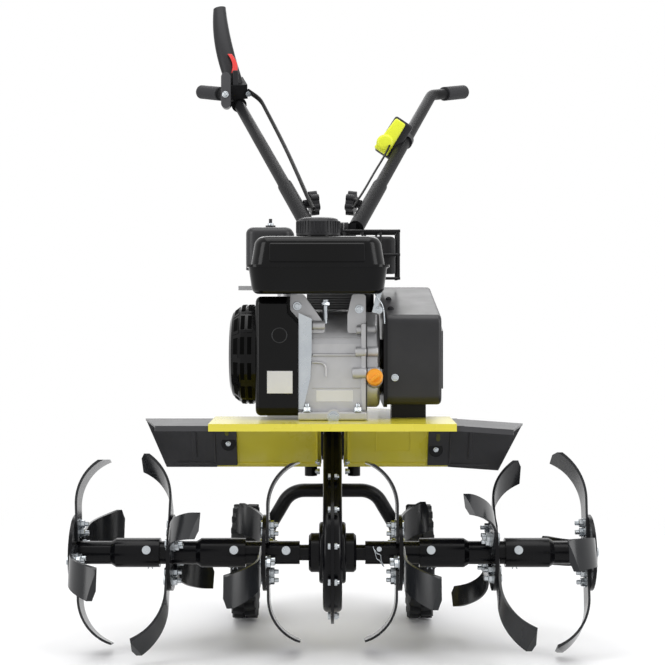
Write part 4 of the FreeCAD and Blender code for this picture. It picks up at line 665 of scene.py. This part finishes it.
# ---------------------------------------------------------------- chain case screws
# Zinc-plated M6 screws with nuts hold the two halves of the chain case together round their
# brim. Four more are screwed into its sides, just below the straps that hang it from the deck.
spots = []
screw_inset = 0.0085
lobe_top = 0.24
for z in (0.301, 0.256, 0.201, 0.1395):
    brim = front_seat("chain_case_left", -0.0012, z)
    inward = (axle - brim) if z < lobe_top else Vector((0, 1, -0.55))
    inward.x = 0
    spots.append(Vector((0, brim.y, brim.z)) + inward.normalized() * screw_inset)
lobe_radius = 0.115
for turn in (-62, -98, -134):
    reach = lobe_radius - screw_inset
    angle = math.radians(turn)
    spots.append(axle + Vector((0, -reach * math.cos(angle), reach * math.sin(angle))))
pattern_head = rod_along_x(-0.0073, 0.0045, 0.0056, 6)
bevelled(pattern_head, 0.0005, 1)
pattern_nut = rod_along_x(0.0028, 0.0050, 0.0056, 6)
bevelled(pattern_nut, 0.0005, 1)
pattern_end = rod_along_x(0.0077, 0.0030, 0.0030, 12)
case_screw = joined([pattern_head, pattern_nut, pattern_end], "case_screw")
screws = [copied(case_screw, Matrix.Translation(spot)) for spot in spots]
for side in (-1, 1):
    for z in (0.3065, 0.2905):
        turned_screw = Matrix.Rotation(math.radians(180 if side < 0 else 0), 4, "Z")
        screws.append(copied(case_screw, Matrix.Translation((side * 0.0190, -0.367, z)) @ turned_screw))
bpy.data.objects.remove(case_screw)
case_screws = joined(screws, "case_screws", zinc)
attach(case_screws, "chassis")

# ---------------------------------------------------------------- wing slots and bolts
# Each wing hangs on a bolt with a broad black washer and a small zinc-plated head. Above it
# sits the adjusting slot, which is not cut: a dark lime patch stands for it, its darkness
# painted shade for the deck seen through the slot.
wing_slot_painted_shade = make_finish("wing_slot_painted_shade", (0.10, 0.10, 0.01), (0.14, 0.14, 0.012),
                        (0.5, 0.6), soft_grain, 900, 0.00001)
slots = []
half_slot = 0.0034
slot_rise = 0.0040
for x, z, node in ((-0.1815, 0.3615, "fender_left"), (0.1815, 0.3515, "fender_right")):
    for rise in (-slot_rise, slot_rise):
        slots.append(post(front_seat(node, x, z + rise), half_slot, 0.0007))
    slots.append(bar_along_x(x - half_slot, x + half_slot, front_seat(node, x, z).y - 0.0001, z,
                             0.0012, 2 * slot_rise, 0.0002))
wing_slots = joined(slots, "wing_slots", wing_slot_painted_shade)
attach(wing_slots, "chassis")
washers = []
heads = []
for x, z, node in ((-0.179, 0.340, "fender_left"), (0.178, 0.329, "fender_right")):
    seat = front_seat(node, x, z)
    washers.append(post(seat, 0.0125, 0.0034))
    heads += flange_bolt(seat + Vector((0, -0.0032, 0)), 0.0030, 0.0035)
washers = joined(washers, "wing_washers", black_satin)
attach(washers, "chassis")
wing_bolts = joined(heads, "wing_bolts", zinc)
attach(wing_bolts, "chassis")

# ---------------------------------------------------------------- tank and cap
# The tank is drawn from sheet steel in gloss black, with a flat panel pressed out of its
# front. Its cap is moulded in black plastic, with ribs all round for the hand.
tank_black = make_finish("tank_black", (0.002, 0.002, 0.002), (0.0035, 0.0035, 0.004),
                         (0.12, 0.18), soft_grain, 800, 0.000006, shine=0.16)
dress(tank_black, "fuel_tank", "fan_shroud", "recoil_starter")
black_plastic = make_finish("black_plastic", (0.013, 0.013, 0.015), (0.018, 0.018, 0.020),
                            (0.36, 0.46), pebbled_grain, 700, 0.000022, shine=0.22)
dress(black_plastic, "fuel_cap", "clamp_knobs", "throttle_body", "clutch_lever")
tank_front = front_seat("fuel_tank", -0.02, 0.665)
panel = bar_along_x(-0.1035, 0.0535, tank_front.y + 0.0015, 0.6640, 0.0105, 0.0330, 0.0040)
tank_panel = joined([panel], "tank_panel", tank_black)
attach(tank_panel, "chassis")

cap_low, cap_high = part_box("fuel_cap")
cap_middle = (cap_low + cap_high) / 2
cap_radius = (cap_high.x - cap_low.x) / 2
rib_count = 40
pattern_rib = bar_along_x(-0.0011, 0.0011, -cap_radius + 0.0012, cap_middle.z - 0.001, 0.0032, 0.0200, 0.0008)
ribs = []
for number in range(rib_count):
    turn = Matrix.Rotation(math.radians(360 / rib_count * number), 4, "Z")
    ribs.append(copied(pattern_rib, Matrix.Translation((cap_middle.x, cap_middle.y, 0)) @ turn))
bpy.data.objects.remove(pattern_rib)
cap_ribs = joined(ribs, "cap_ribs", black_plastic)
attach(cap_ribs, "chassis")

# ---------------------------------------------------------------- oil plug
# The oil plug is moulded in orange plastic and screwed in by hand. A finger tab slants
# across its front.
orange_plastic = make_finish("orange_plastic", (0.88, 0.34, 0.02), (0.93, 0.38, 0.025),
                             (0.30, 0.38), pebbled_grain, 700, 0.00002)
dress(orange_plastic, "oil_plug")
plug_low, plug_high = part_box("oil_plug")
plug_middle = (plug_low + plug_high) / 2
half_tab = 0.0090
tab = bar_along_x(plug_middle.x - half_tab, plug_middle.x + half_tab, plug_low.y - 0.0035,
                  plug_middle.z, 0.0110, 0.0052, 0.0018, math.radians(-35))
plug_tab = joined([tab], "plug_tab", orange_plastic)
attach(plug_tab, "chassis")

# ---------------------------------------------------------------- air cleaner and belt cover
# Both are moulded in black plastic. A hexagon nut and a round nut, zinc plated, close the
# air cleaner. Two black screws and a zinc-plated one hold the belt cover.
cover_plastic = make_finish("cover_plastic", (0.018, 0.018, 0.020), (0.026, 0.026, 0.028),
                            (0.32, 0.42), pebbled_grain, 700, 0.000022, shine=0.32)
dress(cover_plastic, "air_cleaner", "belt_cover")
cleaner_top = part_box("air_cleaner")[1].z
cleaner_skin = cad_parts["air_cleaner"].data
stud_rim = [corner.co for corner in cleaner_skin.vertices if corner.co.z > cleaner_top - 0.001]
nut_x = sum(spot.x for spot in stud_rim) / len(stud_rim)
nut_y = sum(spot.y for spot in stud_rim) / len(stud_rim)
nut_pair = ((6, 0.0085, 0.0060), (24, 0.0052, 0.0060))
nut_pieces = upright_stack(nut_x, nut_y, cleaner_top - 0.0200, nut_pair, 0.0005)
cleaner_nut = joined(nut_pieces, "cleaner_nut", zinc)
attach(cleaner_nut, "chassis")

cover_bolts = []
for z in (0.5870, 0.5710):
    cover_bolts += flange_bolt(front_seat("belt_cover", 0.0990, z), 0.0036, 0.0035)
cover_bolts = joined(cover_bolts, "cover_bolts", black_plastic)
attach(cover_bolts, "chassis")
cover_screw = joined(flange_bolt(front_seat("belt_cover", 0.104, 0.458), 0.0042, 0.003), "cover_screw", zinc)
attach(cover_screw, "chassis")

# ---------------------------------------------------------------- muffler
# The muffler and its guard are pressed from sheet steel and coated in a matt black that
# stands the heat.
stove_black = make_finish("stove_black", (0.012, 0.012, 0.013), (0.018, 0.018, 0.019),
                          (0.45, 0.6), soft_grain, 900, 0.0002, shine=0.25)
dress(stove_black, "muffler", "muffler_guard")

# ---------------------------------------------------------------- fan shroud and starter
# The shroud is sheet steel in the tank's gloss black, with a ring round its knock-out. The
# starter is plastic of the same gloss; three rings of slots in its rim let the air in. The
# slots are not cut: each is a near-black patch in a raised black edge, painted shade for
# the dark inside of the opening.
shroud_seat = front_seat("fan_shroud", -0.0876, 0.529)
bpy.ops.object.select_all(action="DESELECT")
bpy.ops.mesh.primitive_torus_add(
    major_radius=0.0122, minor_radius=0.0009, major_segments=48, minor_segments=8,
    location=shroud_seat, rotation=(math.radians(90), 0, 0),
)
knockout = joined([bpy.context.object], "shroud_knockout", cover_plastic)
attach(knockout, "chassis")

# near-black patches that stand for the slots: painted shade inside the openings
starter_painted_shade = make_finish("starter_painted_shade", (0.001, 0.001, 0.001), (0.002, 0.002, 0.002),
                        (0.8, 0.9), soft_grain, 900, 0.00001, shine=0.05)
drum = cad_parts["recoil_starter"]
drum_low, drum_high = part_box("recoil_starter")
drum_middle = (drum_low + drum_high) / 2


def rim_arc(x_from, x_to, angle, sweep, height):
    """A raised patch on the starter's rim, from one x to another, round an arc."""
    sunk = 0.002
    radii = []
    for x in (x_from, x_to):
        start = Vector((x, drum_middle.y - 0.3, drum_middle.z))
        hit, spot, facing, face = drum.ray_cast(start, Vector((0, 1, 0)))
        radii.append(drum_middle.y - spot.y)
    bpy.ops.object.select_all(action="DESELECT")
    bpy.ops.mesh.primitive_plane_add(size=1, location=(0, 0, 0))
    patch = bpy.context.object
    outline = (
        (x_from, radii[0] - sunk),
        (x_to, radii[1] - sunk),
        (x_from, radii[0] + height),
        (x_to, radii[1] + height),
    )
    start_angle = angle - sweep / 2
    for corner, (x, radius) in zip(patch.data.vertices, outline):
        corner.co = (x, -radius * math.cos(start_angle), radius * math.sin(start_angle))
    bpy.ops.object.mode_set(mode="EDIT")
    bpy.ops.mesh.select_all(action="SELECT")
    bpy.ops.mesh.spin(steps=6, angle=-sweep, center=(0, 0, 0), axis=(1, 0, 0))
    bpy.ops.mesh.select_all(action="SELECT")
    bpy.ops.mesh.normals_make_consistent(inside=False)
    bpy.ops.object.mode_set(mode="OBJECT")
    patch.location = (0, drum_middle.y, drum_middle.z)
    bpy.ops.object.transform_apply(location=True, rotation=True, scale=True)
    return patch


slot_edges = []
slot_floors = []
slots_round = 12
for column in range(3):
    x = -0.1335 - 0.0120 * column
    for group in range(slots_round):
        angle = math.radians(360 / slots_round * group + 2)
        slot_edges.append(rim_arc(x - 0.0096, x, angle, math.radians(23), 0.0009))
        slot_floors.append(rim_arc(x - 0.0082, x - 0.0014, angle, math.radians(20), 0.0012))
slot_edges = joined(slot_edges, "starter_slot_edges", tank_black)
slot_floors = joined(slot_floors, "starter_slot_shade", starter_painted_shade)
for piece in (slot_edges, slot_floors):
    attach(piece, "chassis")

# ---------------------------------------------------------------- grips and cables
# The grips are soft black rubber, pushed onto the ends of the handle tubes. The cables run
# in smooth black sheaths.
grip_rubber = make_finish("grip_rubber", (0.030, 0.030, 0.033), (0.040, 0.040, 0.043),
                          (0.62, 0.75), pebbled_grain, 700, 0.00006, shine=0.2)
dress(grip_rubber, "grip_left", "grip_right")
cable_black = make_finish("cable_black", (0.012, 0.012, 0.012), (0.016, 0.016, 0.016),
                          (0.38, 0.46), soft_grain, 400, 0.000001, shine=0.1)
dress(cable_black, "clutch_cables", "throttle_cable")

# ---------------------------------------------------------------- throttle
# The thumb lever is a rounded paddle with a knob, moulded in lime plastic. It lies in a
# cradle of black plastic and takes the place of the plain lever.
lime_plastic = make_finish("lime_plastic", (0.74, 0.80, 0.03), (0.80, 0.86, 0.04),
                           (0.30, 0.38), pebbled_grain, 700, 0.00002)
dress(lime_plastic, "throttle_lever")
lever_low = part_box("throttle_lever")[0]
paddle_middle = Vector((0.1240, lever_low.y - 0.027, 0.9330))
paddle_lean = math.radians(34)


def paddle_slab(wide, deep, tall, foot_wide, spot, round_off):
    """A leaning rounded slab, whose foot has a width of its own."""
    slab = block((wide, deep, tall))
    for corner in slab.data.vertices:
        if corner.co.z < 0:
            corner.co.x *= foot_wide / wide
    slab.rotation_euler = (0, paddle_lean, 0)
    slab.location = spot
    bpy.ops.object.transform_apply(location=True, rotation=True, scale=True)
    bevelled(slab, round_off, 4)
    return slab


knob = cylinder(0.0185, 0.022, 48, paddle_middle + Vector((-0.012, -0.001, -0.014)),
                (math.radians(90), 0, 0))
bevelled(knob, 0.006, 4)
band = paddle_slab(0.025, 0.016, 0.078, 0.034, paddle_middle, 0.004)
paddle = joined([knob, band], "throttle_paddle", lime_plastic)
bpy.ops.object.shade_smooth_by_angle(angle=math.radians(40))
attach(paddle, "handlebar")
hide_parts("throttle_lever")
cradle_middle = paddle_middle + Vector((0.0065, 0.014, -0.0020))
cradle = paddle_slab(0.045, 0.024, 0.086, 0.042, cradle_middle, 0.006)
throttle_cradle = joined([cradle], "throttle_cradle", black_plastic)
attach(throttle_cradle, "handlebar")

# ---------------------------------------------------------------- clutch catch
# The clutch lever's catch is a curved tongue of red plastic on a black foot block, which
# is fixed to the lever's housing. It takes the place of the plain catch.
red_plastic = make_finish("red_plastic", (0.62, 0.020, 0.015), (0.68, 0.026, 0.020),
                          (0.30, 0.38), pebbled_grain, 700, 0.00002)
dress(red_plastic, "lever_lock")
catch_low, catch_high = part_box("lever_lock")
catch_height = 0.046
catch = block((0.0125, 0.009, catch_height))
bpy.ops.object.mode_set(mode="EDIT")
bpy.ops.mesh.select_all(action="SELECT")
bpy.ops.mesh.subdivide(number_cuts=9)
bpy.ops.object.mode_set(mode="OBJECT")
for corner in catch.data.vertices:
    rise = (corner.co.z + catch_height / 2) / catch_height
    corner.co.x = corner.co.x * (1 - 0.25 * rise) - 0.011 * rise * rise + 0.004 * math.sin(math.pi * rise)
    corner.co.y += 0.27 * corner.co.z
catch.location = ((catch_low.x + catch_high.x) / 2 - 0.010, catch_high.y + 0.0050, 1.1265)
bevelled(catch, 0.0025, 3, 50)
bpy.ops.object.shade_smooth_by_angle(angle=math.radians(40))
catch = joined([catch], "clutch_catch", red_plastic)
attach(catch, "handlebar")
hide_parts("lever_lock")
foot_y = catch_high.y - 0.0042
foot = bar_along_x(catch_low.x - 0.0065, catch_high.x - 0.0068, foot_y, 1.0915, 0.010, 0.036, 0.003)
catch_foot = joined([foot], "catch_foot", black_plastic)
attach(catch_foot, "handlebar")

# ---------------------------------------------------------------- lever cheek
# A grey cheek with rounded ends is moulded to the housing's outer side. It carries the
# lever's zinc-plated pivot bolt.
cheek_grey = make_finish("cheek_grey", (0.050, 0.050, 0.054), (0.065, 0.065, 0.070),
                         (0.30, 0.40), soft_grain, 900, 0.00001, shine=0.3)
cheek_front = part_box("lever_bracket")[0].y - 0.001
cheek_x = -0.2435
cheek_radius = 0.011
cheek_foot, cheek_top = 1.0330, 1.0930
cheek_depth = 0.030
cheek = [bar_along_x(cheek_x - cheek_radius, cheek_x + cheek_radius, cheek_front + cheek_depth / 2,
                     (cheek_foot + cheek_top) / 2, cheek_depth, cheek_top - cheek_foot, 0.0008)]
for end_z in (cheek_foot, cheek_top):
    cheek.append(post(Vector((cheek_x, cheek_front, end_z)), cheek_radius, 0.0001, 32, 0.0004, cheek_depth))
cheek_plate = joined(cheek, "cheek_plate", cheek_grey)
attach(cheek_plate, "handlebar")
pivot_spot = Vector((cheek_x - 0.001, cheek_front, 1.0530))
pivot = joined(flange_bolt(pivot_spot, 0.0050, 0.004), "pivot_bolt", zinc)
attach(pivot, "handlebar")

# ---------------------------------------------------------------- cable adjusters
# Each clutch cable leaves the housing through a zinc-plated adjuster: a short sleeve with
# a wider collar.
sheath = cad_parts["clutch_cables"].data
far_y = max(corner.co.y for corner in sheath.vertices)
rim = [corner.co.copy() for corner in sheath.vertices if corner.co.y > far_y - 0.003]
rim.sort(key=lambda spot: spot.x)
gap = max(range(1, len(rim)), key=lambda at: rim[at].x - rim[at - 1].x)
adjusters = []
for group in (rim[:gap], rim[gap:]):
    start = sum(group, Vector()) / len(group)
    for radius, bends in (
        (0.0048, ((0, 0.004, 0.002), (0, 0, 0), (0.004, -0.012, -0.004))),
        (0.0064, ((0.001, -0.002, -0.001), (0.002, -0.006, -0.002))),
    ):
        adjusters.append(wire([start + Vector(bend) for bend in bends], radius))
cable_adjusters = joined(adjusters, "cable_adjusters", zinc)
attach(cable_adjusters, "handlebar")

# ---------------------------------------------------------------- wheels
# Solid rubber tyres on rims of black plastic. Each tyre is a round-shouldered carcass with
# two rows of staggered lugs moulded onto it, and takes the place of the plain ring.
tyre_rubber = make_finish("tyre_rubber", (0.018, 0.019, 0.020), (0.025, 0.026, 0.027),
                          (0.6, 0.72), pebbled_grain, 900, 0.0003, shine=0.2)
dress(tyre_rubber, "wheel_tyre_left", "wheel_tyre_right")
rim_plastic = make_finish("rim_plastic", (0.018, 0.018, 0.019), (0.024, 0.024, 0.025),
                          (0.4, 0.5), pebbled_grain, 700, 0.00002, shine=0.22)
dress(rim_plastic, "wheel_rim_left", "wheel_rim_right")
lug_count = 22
lug_height = 0.0075
lug_root = 0.006
lug_skew = 16
bore = 0.062
for side_name in ("left", "right"):
    low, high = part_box(f"wheel_tyre_{side_name}")
    hub = (low + high) / 2
    radius = (high.z - low.z) / 2
    half = (high.x - low.x) / 2
    crown = radius - lug_height
    shoulder = [
        (-half * 0.55, bore),
        (-half * 0.80, bore + 0.004),
        (-half * 0.97, bore + 0.014),
        (-half, crown - 0.016),
        (-half * 0.90, crown - 0.005),
        (-half * 0.62, crown),
    ]
    profile = shoulder + [(-x, r) for x, r in reversed(shoulder)]
    bpy.ops.object.select_all(action="DESELECT")
    bpy.ops.mesh.primitive_circle_add(vertices=len(profile), radius=0.01, location=(0, 0, 0))
    carcass = bpy.context.object
    for corner, (x, r) in zip(carcass.data.vertices, profile):
        corner.co = (x, 0, r)
    bpy.ops.object.mode_set(mode="EDIT")
    bpy.ops.mesh.select_all(action="SELECT")
    bpy.ops.mesh.spin(steps=72, angle=math.radians(360), center=(0, 0, 0), axis=(1, 0, 0))
    bpy.ops.mesh.select_all(action="SELECT")
    bpy.ops.mesh.remove_doubles(threshold=0.00002)
    bpy.ops.mesh.normals_make_consistent(inside=False)
    bpy.ops.object.mode_set(mode="OBJECT")
    bpy.ops.object.shade_smooth_by_angle(angle=math.radians(40))
    pieces = [carcass]
    lug = block((half * 0.86, 0.015, lug_height + lug_root), (0, 0, crown + (lug_height - lug_root) / 2))
    for corner in lug.data.vertices:
        if corner.co.z > crown:
            corner.co.y *= 0.78
            corner.co.z -= 0.0006
    bevelled(lug, 0.0012, 2)
    for row in (-1, 1):
        for number in range(lug_count):
            turn = math.radians(360 / lug_count * (number + row * 0.25))
            shift = Matrix.Translation((row * half * 0.50, 0, 0))
            skew = Matrix.Rotation(math.radians(row * lug_skew), 4, "Z")
            pieces.append(copied(lug, Matrix.Rotation(turn, 4, "X") @ shift @ skew))
    bpy.data.objects.remove(lug)
    tyre = joined(pieces, f"tyre_{side_name}", tyre_rubber)
    tyre.location = hub
    alone(tyre)
    bpy.ops.object.transform_apply(location=True, rotation=True, scale=True)
    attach(tyre, f"wheel_{side_name}")
    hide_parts(f"wheel_tyre_{side_name}")
